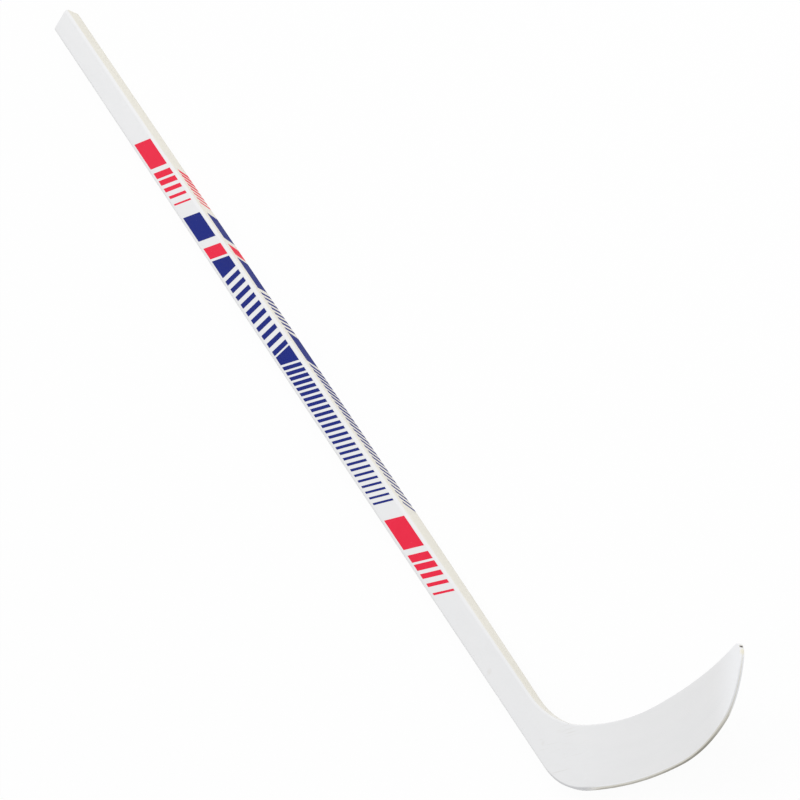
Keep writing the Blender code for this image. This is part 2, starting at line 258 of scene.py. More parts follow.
@dataclass
class Edge:
    """A long edge of the flat drawing from the butt on, with the wood on its left (1) or right."""

    points: list[Vector]
    side: int
    lengths: list[float] = field(init=False)

    def __post_init__(self) -> None:
        """Measure along the edge from the butt."""
        self.lengths = distances(self.points)

    def at(self, length: float) -> EdgePoint:
        """Return the edge point at a length from the butt.

        Args:
            length: How far along the edge.

        Returns:
            The point and the way into the wood.
        """
        index = step_of(self.lengths, length)
        start = self.points[index]
        way = (self.points[index + 1] - start).normalized()
        inward = Vector((-way.y, way.x)) * self.side
        return EdgePoint(start + way * (length - self.lengths[index]), inward)

    def crossed_by(self, start: Vector, way: Vector) -> float:
        """Return the length at which a line first crosses this edge.

        Args:
            start: A point on the line.
            way: The way of the line.

        Returns:
            The length from the butt.

        Raises:
            ValueError: The line misses the edge.
        """
        sides = [way.x * (point.y - start.y) - way.y * (point.x - start.x) for point in self.points]
        for index, (before, after) in enumerate(zip(sides, sides[1:])):
            if before != after and before * after <= 0.0:
                return mix(self.lengths[index], self.lengths[index + 1], before / (before - after))
        raise ValueError("a station misses the edge of the stick")


def arc_points(before: Vector, corner: Vector, after: Vector, reach: float) -> list[Vector]:
    """Return the points of the arc that rounds a corner.

    Args:
        before: The corner before this one.
        corner: The corner that is rounded.
        after: The corner after it.
        reach: How far from the corner the arc starts and ends.

    Returns:
        An odd number of points.
    """
    back = (before - corner).normalized()
    ahead = (after - corner).normalized()
    half = back.angle(ahead) / 2
    centre = corner + (back + ahead).normalized() * (reach / math.cos(half))
    spoke = corner + back * reach - centre
    turn = math.copysign(math.pi - 2 * half, cross(ahead, back))
    steps = 2 * math.ceil(abs(turn) / LoftSteps.arc / 2)
    return [centre + turned(spoke, turn * step / steps) for step in range(steps + 1)]


def rounded_corners(corners: Sequence[Vector], radii: Sequence[float]) -> list[list[Vector]]:
    """Return the arc of each inner corner, shortened where two arcs would overlap.

    Args:
        corners: The corners of the outline.
        radii: A radius for each corner between the first and the last.

    Returns:
        The points of each arc.
    """
    room_share = 0.999
    reaches = [0.0]
    for before, corner, after, radius in zip(corners, corners[1:], corners[2:], radii):
        half = (before - corner).angle(after - corner) / 2
        reaches.append(radius / math.tan(half))
    reaches.append(0.0)
    for index in range(len(corners) - 1):
        room = room_share * (corners[index + 1] - corners[index]).length
        excess = max(1.0, (reaches[index] + reaches[index + 1]) / room)
        reaches[index] /= excess
        reaches[index + 1] /= excess
    inner = zip(corners, corners[1:], corners[2:], reaches[1:])
    return [arc_points(*corner) for corner in inner]


class StickDrawing:
    """The flat drawing of the stick, its stations, and the depths of its layers.

    A station is named by a number: 0 to 1 runs down the shaft to the throat, 1 to 2 through the
    turn into the blade, 2 to 3 along the blade, 3 to 4 round the toe and 4 to 5 over its tip.
    """

    def __init__(self, sizes: StickSizes) -> None:
        """Draw the outline and find the places that the pieces share.

        Args:
            sizes: The measures of the stick.
        """
        self.sizes = sizes
        self.blade_turn = math.pi - sizes.lie_angle
        self.along_way = turned(Vector((1.0, 0.0)), self.blade_turn)
        self.up_way = turned(Vector((0.0, 1.0)), self.blade_turn)
        self.heel = Vector((sizes.shaft_length, -sizes.shaft_width / 2))
        self.draw_outline()
        self.taper_start = self.throat_start - sizes.taper_length
        self.knots = (self.throat_along, 0.0, sizes.middle_at, sizes.curve_end)
        self.thicknesses = (sizes.throat_thickness, sizes.heel_thickness,
                            sizes.middle_thickness, sizes.toe_thickness)
        half = sizes.shaft_thickness / 2
        over_veneer = sizes.glass_thickness + sizes.glue_line
        self.lamination_top = half - over_veneer - sizes.veneer_thickness - sizes.glue_line
        least = self.lamination_top + sizes.glue_line + sizes.veneer_feather + over_veneer
        planed = min(1.0, (half - least) / (half - sizes.throat_thickness / 2))
        self.veneer_end = self.taper_start + sizes.taper_length * planed ** (1 / sizes.taper_curve)
        self.shared = self.shared_numbers()
        self.runs = distances([self.middle_of(number) for number in self.shared])

    def draw_outline(self) -> None:
        """Draw the two long edges, and mark where the throat and the tip begin."""
        sizes = self.sizes
        down = Vector((1.0, 0.0))
        butt_back = Vector((0.0, -sizes.shaft_width / 2))
        butt_toe = Vector((0.0, sizes.shaft_width / 2))
        heel_lift = self.on_blade(sizes.heel_lift_at)
        crown = self.on_blade(*sizes.crown)
        to_heel = sizes.heel_slope * self.up_way - self.along_way
        to_throat = sizes.throat_slope * self.up_way - self.along_way
        corners = [
            butt_back,
            meeting(self.heel, down, heel_lift, to_heel),
            heel_lift,
            self.on_blade(sizes.toe_lift_at),
            self.on_blade(*sizes.toe_corner),
            self.on_blade(*sizes.toe_tip),
            crown,
            meeting(butt_toe, down, crown, to_throat),
            butt_toe,
        ]
        arcs = rounded_corners(corners, sizes.edge_radii)
        heel, lift, toe_lift, toe_corner, tip, top, throat = arcs
        middle = len(tip) // 2
        bottom = [butt_back] + heel + lift + toe_lift + toe_corner + tip[:middle + 1]
        self.outer = Edge(bottom, 1)
        self.inner = Edge([butt_toe] + throat[::-1] + top[::-1] + tip[:middle - 1:-1], -1)
        self.throat_start = throat[-1].x
        self.throat_along = self.along_blade(throat[-1])
        self.tip_length = distances(tip[middle:])[-1]
        self.turn_end = self.inner.crossed_by(self.on_blade(sizes.turn_end), self.up_way)

    def on_blade(self, along: float, up: float = 0.0) -> Vector:
        """Return the flat point at measures along and square to the bottom edge, from the heel."""
        return self.heel + self.along_way * along + self.up_way * up

    def along_blade(self, place: Vector) -> float:
        """Return how far along the bottom edge a flat point lies."""
        return (place - self.heel).dot(self.along_way)

    def shared_numbers(self) -> list[float]:
        """Number the stations that every layer is lofted through.

        Returns:
            The numbers, from the butt to the tip.
        """
        sizes = self.sizes
        steps = LoftSteps()
        turns = [math.pi / 2 * step / steps.ease for step in range(steps.ease + 1)]
        lengths = [sizes.butt_ease * (1 - math.cos(turn)) for turn in turns]
        lengths.append(steps.after_ease * sizes.butt_ease)
        lengths += [self.taper_start * step / steps.shaft for step in range(1, steps.shaft)]
        lengths += [self.taper_start + sizes.taper_length * step / steps.taper
                    for step in range(steps.taper)]
        numbers = [self.down_shaft(length) for length in lengths]
        for start, count in ((1, steps.turn), (2, steps.blade), (3, steps.toe)):
            numbers += [start + step / count for step in range(count)]
        return numbers + [4 + steps.tip_share * step / steps.tip for step in range(steps.tip + 1)]

    def down_shaft(self, length: float) -> float:
        """Return the number of the station at a length from the butt, above the throat."""
        return length / self.throat_start

    def above_throat(self, length: float) -> float:
        """Return the number of the station at a length above the throat."""
        return self.down_shaft(self.throat_start - length)

    def stations(self, first: float, last: float) -> list[Station]:
        """Return the whole-width stations of a piece.

        Args:
            first: The number of its first station.
            last: The number of its last.

        Returns:
            The two, and the shared ones that lie between and not too close to them.
        """
        ends = [self.ends_of(number)[1].place for number in (first, last)]
        numbers = [first]
        for number in self.shared:
            place = self.ends_of(number)[1].place
            room = min((place - end).length for end in ends)
            if first < number < last and room > LoftSteps.least_spacing:
                numbers.append(number)
        return [self.station(number) for number in numbers + [last]]

    def station(self, number: float) -> Station:
        """Return the station with a number."""
        return Station(*self.ends_of(number), broken_line(self.shared, self.runs, number))

    def middle_of(self, number: float) -> Vector:
        """Return the middle of the station with a number."""
        outer, inner = self.ends_of(number)
        return (outer.place + inner.place) / 2

    def ends_of(self, number: float) -> tuple[EdgePoint, EdgePoint]:
        """Return the two edge points of the station with a number.

        Args:
            number: The station's number.

        Returns:
            The point on the back and bottom edge, and the one on the toe-side edge.
        """
        if number <= 1:
            length = number * self.throat_start
            return self.outer.at(length), self.inner.at(length)
        if number <= 2:
            inner = self.inner.at(mix(self.throat_start, self.turn_end, number - 1))
            way = turned(Vector((0.0, 1.0)), self.blade_turn * (number - 1))
            return self.outer.at(self.outer.crossed_by(inner.place, way)), inner
        foot = self.on_blade(mix(self.sizes.turn_end, self.sizes.toe_start, min(1.0, number - 2)))
        ends = []
        for edge in (self.outer, self.inner):
            start = edge.crossed_by(foot, self.up_way)
            lengths = (start, edge.lengths[-1] - self.tip_length, edge.lengths[-1])
            ends.append(edge.at(broken_line((3, 4, 5), lengths, max(3, number))))
        return ends[0], ends[1]

    def nose_number(self) -> float:
        """Find where the throat blocks begin.

        Returns:
            The number of the station.
        """
        side = Vector((0.0, self.sizes.shaft_width / 2 + self.sizes.block_nose))
        nose = self.inner.crossed_by(side, Vector((1.0, 0.0)))
        return 1 + (nose - self.throat_start) / (self.turn_end - self.throat_start)

    def solid_face(self, place: Vector) -> float:
        """Return the depth of the plain solid's surface from its middle plane.

        Args:
            place: The flat place.

        Returns:
            Half the thickness there.
        """
        sizes = self.sizes
        if place.x < self.throat_start:
            planed = max(0.0, (place.x - self.taper_start) / sizes.taper_length)
            thinned = planed ** sizes.taper_curve
            return mix(sizes.shaft_thickness, sizes.throat_thickness, thinned) / 2
        along = max(self.throat_along, self.along_blade(place))
        return broken_line(self.knots, self.thicknesses, along) / 2

    def surface(self, place: Vector) -> float:
        """Return the depth of the painted surface, which leaves room for the ink."""
        return self.solid_face(place) - self.sizes.ink_room

    def glass_bed(self, place: Vector) -> float:
        """Return the depth of the glue line under the glass."""
        return self.solid_face(place) - self.sizes.glass_thickness - self.sizes.glue_line / 2

    def veneer_bed(self, place: Vector) -> float:
        """Return the depth of the glue line under the veneer."""
        return self.lamination_top + self.sizes.glue_line / 2

    def lamination_face(self, place: Vector) -> float:
        """Return the depth of a lamination's top, flat down to the end of the veneer."""
        flat = place.x < self.veneer_end + self.sizes.glue_line + self.sizes.step_gap / 2
        return self.veneer_bed(place) if flat else self.glass_bed(place)

    def core_face(self, place: Vector) -> float:
        """Return the depth of the glue line on the core and on the blade's tongue.

        Args:
            place: The flat place.

        Returns:
            The depth, which falls along the tongue and again along the blade.
        """
        sizes = self.sizes
        root = self.throat_start - sizes.fork_above_throat
        share = clamp((place.x - root) / (sizes.shaft_length - root))
        tongue = mix(sizes.core_thickness, sizes.tongue_thickness, share)
        reach = self.along_blade(place) / sizes.curve_end
        blade = mix(sizes.tongue_thickness, sizes.toe_core_thickness, reach)
        return min(tongue, blade) / 2 + sizes.glue_line / 2

    def core_back(self, place: Vector) -> float:
        """Return the depth of the glue line behind the core."""
        return -self.core_face(place)

    def butt_ease(self, place: Vector) -> float:
        """Return how far the surfaces stand back where the butt end is rounded."""
        ease = self.sizes.butt_ease
        return ease - math.sqrt(ease ** 2 - clamp(ease - place.x, 0.0, ease) ** 2)

    def profile(self, place: Vector) -> Span:
        """Return the radius of the long edges, and the depth at which their rounding begins."""
        radius = min(self.sizes.corner_radius, 2 * self.solid_face(place) * self.sizes.edge_rounding)
        return radius, self.surface(place) - radius

    def narrow_at(self, place: Vector, depth: float) -> float:
        """Return 1 where the profile faces sideways at a depth, falling to 0 on a broad face."""
        radius, shoulder = self.profile(place)
        return math.sqrt(1.0 - clamp((abs(depth) - shoulder) / radius) ** 2)

    def inset(self, place: Vector, depth: float) -> float:
        """Return how far an edge stands back at a depth: its rounding, the butt's and the ink."""
        rounding = self.profile(place)[0] * (1.0 - self.narrow_at(place, depth))
        return self.sizes.ink_room + rounding + self.butt_ease(place)

    def bent(self, place: Vector, depth: float) -> Vector:
        """Carry a flat point, at a depth, onto the curve of the blade.

        Args:
            place: The point of the flat drawing.
            depth: The depth from the middle plane.

        Returns:
            The point in space.
        """
        sizes = self.sizes
        span = sizes.curve_end - sizes.curve_start
        share = max(0.0, self.along_blade(place) - sizes.curve_start) / span
        slope = 2 * sizes.curve_offset * share / span
        outward = (Vector((0.0, 0.0, 1.0)) - slope * self.along_way.to_3d()).normalized()
        thinned = sizes.shaft_thickness / 2 - self.solid_face(place)
        middle = (2 * sizes.thinned_from_back - 1) * thinned + sizes.curve_offset * share ** 2
        return Vector((place.x, place.y, middle)) + outward * depth


@dataclass(frozen=True)
class Coating:
    """Where the narrow sides' paint is ivory, and where the blade's edge is bare and stained."""

    ivory_rise: Span = (0.80, 0.975)
    ivory_fade: Span = (1.36, 1.50)
    throat_grey: float = 0.75
    throat_fade: Span = (1.40, 1.52)
    wrap_rise: Span = (0.45, 0.975)
    bare_start: float = 0.020
    bare_lean: float = 0.034
    bare_feather: float = 0.010
    bare_rise: Span = (0.10, 0.45)
    wrapped: Span = (0.58, 0.70)
    covered: Span = (0.245, 0.280)
    seam_middle: float = 0.48
    seam_reach: float = 0.22
    seam_share: float = 0.85
    stain_least: float = 0.55
    stain_rise: Span = (0.09, 0.20)
    stain_fall: Span = (0.200, 0.292)
    # The paint is a little whiter on the shaft than on the blade. The whitest paint on the blade's
    # rounded bottom edge and towards the toe is a painted highlight, and the grey under the heel is
    # painted shade.
    shaft_whiter: float = 0.2
    rim_painted_light_rise: Span = (0.02, 0.14)
    heel_painted_shade: float = 0.72
    heel_painted_shade_rise: Span = (-0.040, -0.015)
    heel_fall: Span = (0.020, 0.045)
    # Where the shaft's whiter paint ends on the blade.
    shaft_whiter_fall: Span = (0.00, 0.10)
    toe_painted_light_rise: Span = (0.222, 0.288)

    def at(self, zone: Zone, narrow: float, run: float, along: float,
           lean: float) -> tuple[float, float, float, float]:
        """Return what the paint is like at a point of a section.

        Args:
            zone: Where on its ring the point lies.
            narrow: 1 where the surface faces sideways, 0 where it is a broad face.
            run: How far down the stick the section lies.
            along: How far along the blade's bottom edge the point lies.
            lean: 0 at the back face and 1 at the front face.

        Returns:
            How ivory, bare and stained it is, from 0 to 1, and how white the paint is: 1 for the
            whitest, which is a painted highlight towards the toe and on the blade's rounded bottom
            edge, 0.2 on the shaft, 0 on the rest of the blade, and below 0 towards grey, which is
            painted shade under the heel.
        """
        ivory = rise(self.ivory_rise, narrow)
        # Whiter paint towards the toe is a painted highlight; on the shaft the paint is a little
        # whiter than on the blade.
        fresh = self.shaft_whiter * fall(self.shaft_whiter_fall, along) + rise(self.toe_painted_light_rise, along)
        if zone is not Zone.OUTER:
            return ivory * (1.0 - self.throat_grey * rise(self.throat_fade, run)), 0.0, 0.0, fresh
        past_heel = rise(self.heel_fall, along)
        wrap = rise(self.wrap_rise, narrow) * fall(self.covered, along) * past_heel
        ivory = max(ivory * fall(self.ivory_fade, run), wrap)
        start = self.bare_start + self.bare_lean * lean
        seam = max(0.0, 1.0 - abs(lean - self.seam_middle) / self.seam_reach)
        bare = rise((start - self.bare_feather, start + self.bare_feather), along)
        bare *= fall(self.wrapped, lean) * rise(self.bare_rise, narrow)
        bare *= mix(1.0, self.seam_share * seam, rise(self.covered, along))
        stain = mix(self.stain_least, 1.0, rise(self.stain_rise, along))
        # Painted highlight: the blade's rounded bottom edge past the heel takes the whitest paint.
        rim_painted_light = rise(self.rim_painted_light_rise, narrow)
        # Painted shade: the rounded edge under the heel turns grey.
        painted_heel_shade = rise(self.heel_painted_shade_rise, along) * (1.0 - past_heel)
        fresh = mix(max(fresh, rim_painted_light * past_heel), -self.heel_painted_shade, rim_painted_light * painted_heel_shade)
        return ivory, bare, stain * fall(self.stain_fall, along), fresh


@dataclass(frozen=True)
class Layer:
    """The two depths that a piece lies between, and how finely its section is drawn."""

    low: Depth
    high: Depth
    side_steps: int
    strips: int
    shows_face: bool = False

    def covers(self) -> list[Cover]:
        """List what the strips round a ring show.

        Returns:
            A cover for each strip, from the one that closes the ring on.
        """
        side = [Cover.OUTSIDE] * self.side_steps
        face = [Cover.OUTSIDE if self.shows_face else Cover.GLUED] * self.strips
        return [Cover.GLUED] + side + face + side + [Cover.GLUED] * (self.strips - 1)


@dataclass(frozen=True)
class RimPoint:
    """A point of a section ring, flat and in space, with what the finishes read there."""

    flat: Vector
    place: Vector
    across: float
    run: float
    paint: tuple[float, float, float, float]


@dataclass(frozen=True)
class SectionCutter:
    """Cuts sections of a layer, in front of the middle plane (1) or behind it, as rings."""

    drawing: StickDrawing
    coating: Coating
    layer: Layer
    side: int

    def levels(self, place: Vector) -> list[float]:
        """Return the shares of the layer's thickness that follow its edge's profile evenly.

        Args:
            place: The flat place on the edge.

        Returns:
            The shares from 0 at its low face to 1 at its high face.
        """
        radius, shoulder = self.drawing.profile(place)
        bend = shoulder / radius
        low, high = self.layer.low(place), self.layer.high(place)
        turns = []
        for depth in (low, high):
            straight = clamp(depth, -shoulder, shoulder)
            over = clamp((depth - straight) / radius, -1.0, 1.0)
            turns.append(straight / radius + math.asin(over))
        levels = [0.0]
        for step in range(1, self.layer.side_steps):
            turn = mix(turns[0], turns[1], step / self.layer.side_steps)
            straight = clamp(turn, -bend, bend)
            depth = radius * (straight + math.sin(turn - straight))
            levels.append(clamp((depth - low) / (high - low)))
        return levels + [1.0]

    def point(self, place: Vector, level: float, across: float, run: float,
              zone: Zone) -> RimPoint:
        """Return a point of a section with what the finishes read there.

        Args:
            place: The flat place.
            level: The share of the layer's thickness.
            across: The measure across the section.
            run: How far down the stick the section lies.
            zone: Where on its ring the point lies.

        Returns:
            The point.
        """
        drawing = self.drawing
        surface = drawing.surface(place)
        high = min(self.layer.high(place), surface - drawing.butt_ease(place))
        depth = mix(self.layer.low(place), high, level)
        narrow = 0.0 if zone is Zone.BETWEEN else drawing.narrow_at(place, depth)
        lean = 0.5 + 0.5 * self.side * depth / surface
        paint = self.coating.at(zone, narrow, run, drawing.along_blade(place), lean)
        return RimPoint(place, drawing.bent(place, self.side * depth), across, run, paint)

    def ring(self, station: Station) -> list[RimPoint]:
        """Return the ring of points round the layer at a station.

        Args:
            station: The station.

        Returns:
            The points: up the outer side, over the top, down the inner side, back underneath.
        """
        layer = self.layer
        half = station.width() / 2
        sides = []
        for edge_point, zone in ((station.outer, Zone.OUTER), (station.inner, Zone.INNER)):
            start = edge_point.place
            column = []
            for level in self.levels(start):
                depth = mix(layer.low(start), layer.high(start), level)
                place = start + edge_point.inward * self.drawing.inset(start, depth)
                across = zone.value * (half + self.drawing.surface(start) - self.side * depth)
                column.append(self.point(place, level, across, station.run, zone))
            sides.append(column)
        outer, inner = sides
        ring = list(outer)
        faces = ((outer[-1], inner[-1], -half, 1.0, inner[::-1]),
                 (inner[0], outer[0], half, 0.0, []))
        for first, last, begin, level, rest in faces:
            for strip in range(1, layer.strips):
                share = strip / layer.strips
                place = mix(first.flat, last.flat, share)
                across = mix(begin, -begin, share)
                ring.append(self.point(place, level, across, station.run, Zone.BETWEEN))
            ring += rest
        return ring


def close_skin(shape: bmesh.types.BMesh, rings: Sequence[Sequence[bmesh.types.BMVert]]) -> list:
    """Join rings of vertices into a closed skin.

    Args:
        shape: The mesh.
        rings: The rings, in order.

    Returns:
        The faces: round the rings strip by strip, then the two ends.
    """
    faces = []
    for near, far in zip(rings, rings[1:]):
        for index in range(len(near)):
            corners = (near[index - 1], near[index], far[index], far[index - 1])
            faces.append(shape.faces.new(corners))
    return faces + [shape.faces.new(rings[0][::-1]), shape.faces.new(rings[-1])]


def face_outward(shape: bmesh.types.BMesh) -> None:
    """Turn a closed mesh inside out if its faces look inward, and find its normals."""
    if shape.calc_volume(signed=True) < 0.0:
        bmesh.ops.reverse_faces(shape, faces=shape.faces)
    shape.normal_update()


def mesh_of(shape: bmesh.types.BMesh, name: str, material: Material) -> bpy.types.Mesh:
    """Turn a finished shape into a mesh with one material.

    Args:
        shape: The shape, which is freed.
        name: The mesh's name.
        material: Its material.

    Returns:
        The mesh.
    """
    mesh = bpy.data.meshes.new(name)
    shape.to_mesh(mesh)
    shape.free()
    mesh.materials.append(material)
    return mesh


def put_in_scene(name: str, data: bpy.types.ID) -> bpy.types.Object:
    """Make an object and link it to the scene.

    Args:
        name: Its name.
        data: Its mesh, camera or lamp.

    Returns:
        The object.
    """
    thing = bpy.data.objects.new(name, data)
    bpy.context.scene.collection.objects.link(thing)
    return thing


@dataclass(frozen=True)
class Lofter:
    """Makes one closed, smooth piece through rings of points."""

    covers: list[Cover]
    sharp_angle: float = math.radians(28.0)

    def loft(self, name: str, rings: Sequence[Sequence[RimPoint]],
             material: Material) -> bpy.types.Object:
        """Make the piece.

        Args:
            name: The piece's name.
            rings: The rings of points, from the butt on.
            material: Its finish.

        Returns:
            The new object, linked to the scene.
        """
        shape = bmesh.new()
        loops = [[shape.verts.new(point.place) for point in ring] for ring in rings]
        notes = {vertex: point for loop, ring in zip(loops, rings)
                 for vertex, point in zip(loop, ring)}
        covers = self.covers * (len(rings) - 1) + [Cover.SAWN_END] * 2
        shown = dict(zip(close_skin(shape, loops), covers))
        face_outward(shape)
        self.note_corners(shape, notes, shown)
        for edge in shape.edges:
            edge.smooth = edge.calc_face_angle(math.pi) < self.sharp_angle
        return put_in_scene(name, mesh_of(shape, name, material))

    def note_corners(self, shape: bmesh.types.BMesh, notes: dict, shown: dict) -> None:
        """Write the map and the attributes that the finishes read onto the mesh's corners.

        Args:
            shape: The mesh.
            notes: The ring point of each vertex.
            shown: What each face shows.
        """
        grain = shape.loops.layers.uv.new(GRAIN_MAP)
        layers = [shape.loops.layers.float.new(name) for name in (IVORY, BARE, STAIN, PAINTED_LIGHT_AND_WHITENESS)]
        for face, cover in shown.items():
            face.smooth = cover is not Cover.SAWN_END
            for loop in face.loops:
                point = notes[loop.vert]
                loop[grain].uv = (point.run, point.across)
                if cover is Cover.SAWN_END:
                    loop[grain].uv = (point.place.z, point.place.y)
                ivory, bare, stain, fresh = point.paint
                if cover is not Cover.OUTSIDE:
                    bare, stain = 1.0, 0.0
                for layer, value in zip(layers, (ivory, bare, stain, fresh)):
                    loop[layer] = value


class NodeBench:
    """Builds a node tree."""

    def __init__(self, tree: bpy.types.NodeTree) -> None:
        """Start with a tree."""
        self.tree = tree

    def add(self, kind: str, inputs: Optional[dict] = None, **settings: object) -> Node:
        """Add a node.

        Args:
            kind: Its type.
            inputs: Values or sockets for its inputs, by name or number.
            settings: Its own properties.

        Returns:
            The node.
        """
        node = self.tree.nodes.new(kind)
        for name, value in settings.items():
            setattr(node, name, value)
        for name, value in (inputs or {}).items():
            self.feed(node.inputs[name], value)
        return node

    def feed(self, socket: Socket, value: object) -> None:
        """Link a socket to another, or set its value.

        Args:
            socket: The input.
            value: An output socket, a number or a colour.
        """
        if isinstance(value, Socket):
            self.tree.links.new(value, socket)
        elif isinstance(value, tuple) and socket.type == "RGBA":
            socket.default_value = (*value, 1.0)
        else:
            socket.default_value = value

    def maths(self, operation: str, first: object, second: object) -> Socket:
        """Return the result of a sum on two numbers."""
        return self.add("ShaderNodeMath", {0: first, 1: second}, operation=operation).outputs[0]

    def product(self, first: object, second: object) -> Socket:
        """Return the product of two numbers."""
        return self.maths("MULTIPLY", first, second)

    def sum(self, *parts: object) -> Socket:
        """Return the sum of numbers.

        Args:
            parts: The numbers.

        Returns:
            Their sum.
        """
        total = parts[0]
        for part in parts[1:]:
            total = self.maths("ADD", total, part)
        return total

    def show_seen(self, share: float, unseen: Node, seen: Node, output: str) -> None:
        """Show one shader to rays that see it straight, mirrored or through glass.

        Args:
            share: How much of it they see.
            unseen: The shader that all other rays meet.
            seen: The shader that is seen.
            output: The type of the tree's output.
        """
        path = self.add("ShaderNodeLightPath").outputs
        looks = self.maths("MAXIMUM", path["Is Camera Ray"], path["Is Glossy Ray"])
        looks = self.maths("MAXIMUM", looks, path["Is Transmission Ray"])
        inputs = {0: self.product(looks, share), 1: unseen.outputs[0], 2: seen.outputs[0]}
        self.add(output, {"Surface": self.add("ShaderNodeMixShader", inputs).outputs[0]})


@dataclass(frozen=True)
class Pattern:
    """A cloudy pattern: its stretch and detail, and the span of its values that goes onto another.

    It follows the stick, unless it has a fineness in the object, where it can be turned about Z.
    """

    stretch: Triple
    detail: float
    span: Optional[Span] = None
    onto: Span = (0.0, 1.0)
    roughness: float = 0.55
    fineness: float = 0.0
    turn: float = 0.0


@dataclass(frozen=True)
class Mark:
    """A small mark of use: its place, its reach, its strength and the share of it that is full."""

    place: Triple
    reach: float
    strength: float = 1.0
    full: float = 0.4


class FinishBench(NodeBench):
    """Builds the node tree of one finish."""

    def __init__(self, name: str) -> None:
        """Start a material with its shader.

        Args:
            name: The material's name.
        """
        self.material = bpy.data.materials.new(name)
        self.material.use_nodes = True
        super().__init__(self.material.node_tree)
        self.shader = self.tree.nodes["Principled BSDF"]

    def object_map(self) -> Socket:
        """Return the object's coordinates."""
        return self.add("ShaderNodeTexCoord").outputs["Object"]

    def stick_map(self) -> Socket:
        """Return the piece's own map, which follows the stick."""
        return self.add("ShaderNodeUVMap", uv_map=GRAIN_MAP).outputs["UV"]

    def mapped(self, vector: Socket, **changes: Triple) -> Socket:
        """Return coordinates, stretched or turned."""
        return self.add("ShaderNodeMapping", {"Vector": vector, **changes}).outputs["Vector"]

    def clouds(self, pattern: Pattern) -> Socket:
        """Lay a cloudy pattern.

        Args:
            pattern: Its measures.

        Returns:
            The pattern.
        """
        vector = self.object_map() if pattern.fineness else self.stick_map()
        if pattern.turn:
            vector = self.mapped(vector, Rotation=(0.0, 0.0, pattern.turn))
        noise = self.add("ShaderNodeTexNoise", {
            "Vector": self.mapped(vector, Scale=pattern.stretch),
            "Scale": pattern.fineness or 1.0,
            "Detail": pattern.detail,
            "Roughness": pattern.roughness,
        }).outputs["Fac"]
        return self.spread(noise, pattern.span, pattern.onto) if pattern.span else noise

    def attribute(self, name: str) -> Socket:
        """Return a number that the mesh carries."""
        return self.add("ShaderNodeAttribute", attribute_name=name).outputs["Fac"]

    def spread(self, value: Socket, span: Span, onto: Span = (0.0, 1.0)) -> Socket:
        """Return a pattern with a span of its values stretched onto another span, and kept in it."""
        limits = {"From Min": span[0], "From Max": span[1], "To Min": onto[0], "To Max": onto[1]}
        return self.add("ShaderNodeMapRange", {"Value": value, **limits}).outputs["Result"]

    def near(self, mark: Mark) -> Socket:
        """Return how strong a mark is, from its middle to its reach.

        Args:
            mark: The mark.

        Returns:
            The pattern.
        """
        inputs = {0: self.object_map(), 1: mark.place}
        away = self.add("ShaderNodeVectorMath", inputs, operation="DISTANCE").outputs["Value"]
        near = self.spread(away, (mark.full * mark.reach, mark.reach), (1.0, 0.0))
        return self.product(near, mark.strength)

    def blend(self, share: object, first: object, second: object, kind: str = "MIX") -> Socket:
        """Return a blend of two colours, which are inputs 6 and 7, by the share of the second."""
        inputs = {0: share, 6: first, 7: second}
        return self.add("ShaderNodeMix", inputs, data_type="RGBA", blend_type=kind).outputs[2]

    def finish(self, colour: Socket, roughness: Socket, height: Socket, depth: float,
               specular: float) -> Material:
        """Join the patterns to the shader.

        Args:
            colour: The colour.
            roughness: The roughness.
            height: The height of the surface's relief, from 0 to 1.
            depth: How deep the relief is, in metres.
            specular: How strongly the surface mirrors.

        Returns:
            The material.
        """
        bump = self.add("ShaderNodeBump", {"Height": height, "Distance": depth, "Strength": 1.0})
        looks = {"Base Color": colour, "Roughness": roughness, "Normal": bump.outputs["Normal"],
                 "Specular IOR Level": specular}
        for name, value in looks.items():
            self.feed(self.shader.inputs[name], value)
        return self.material


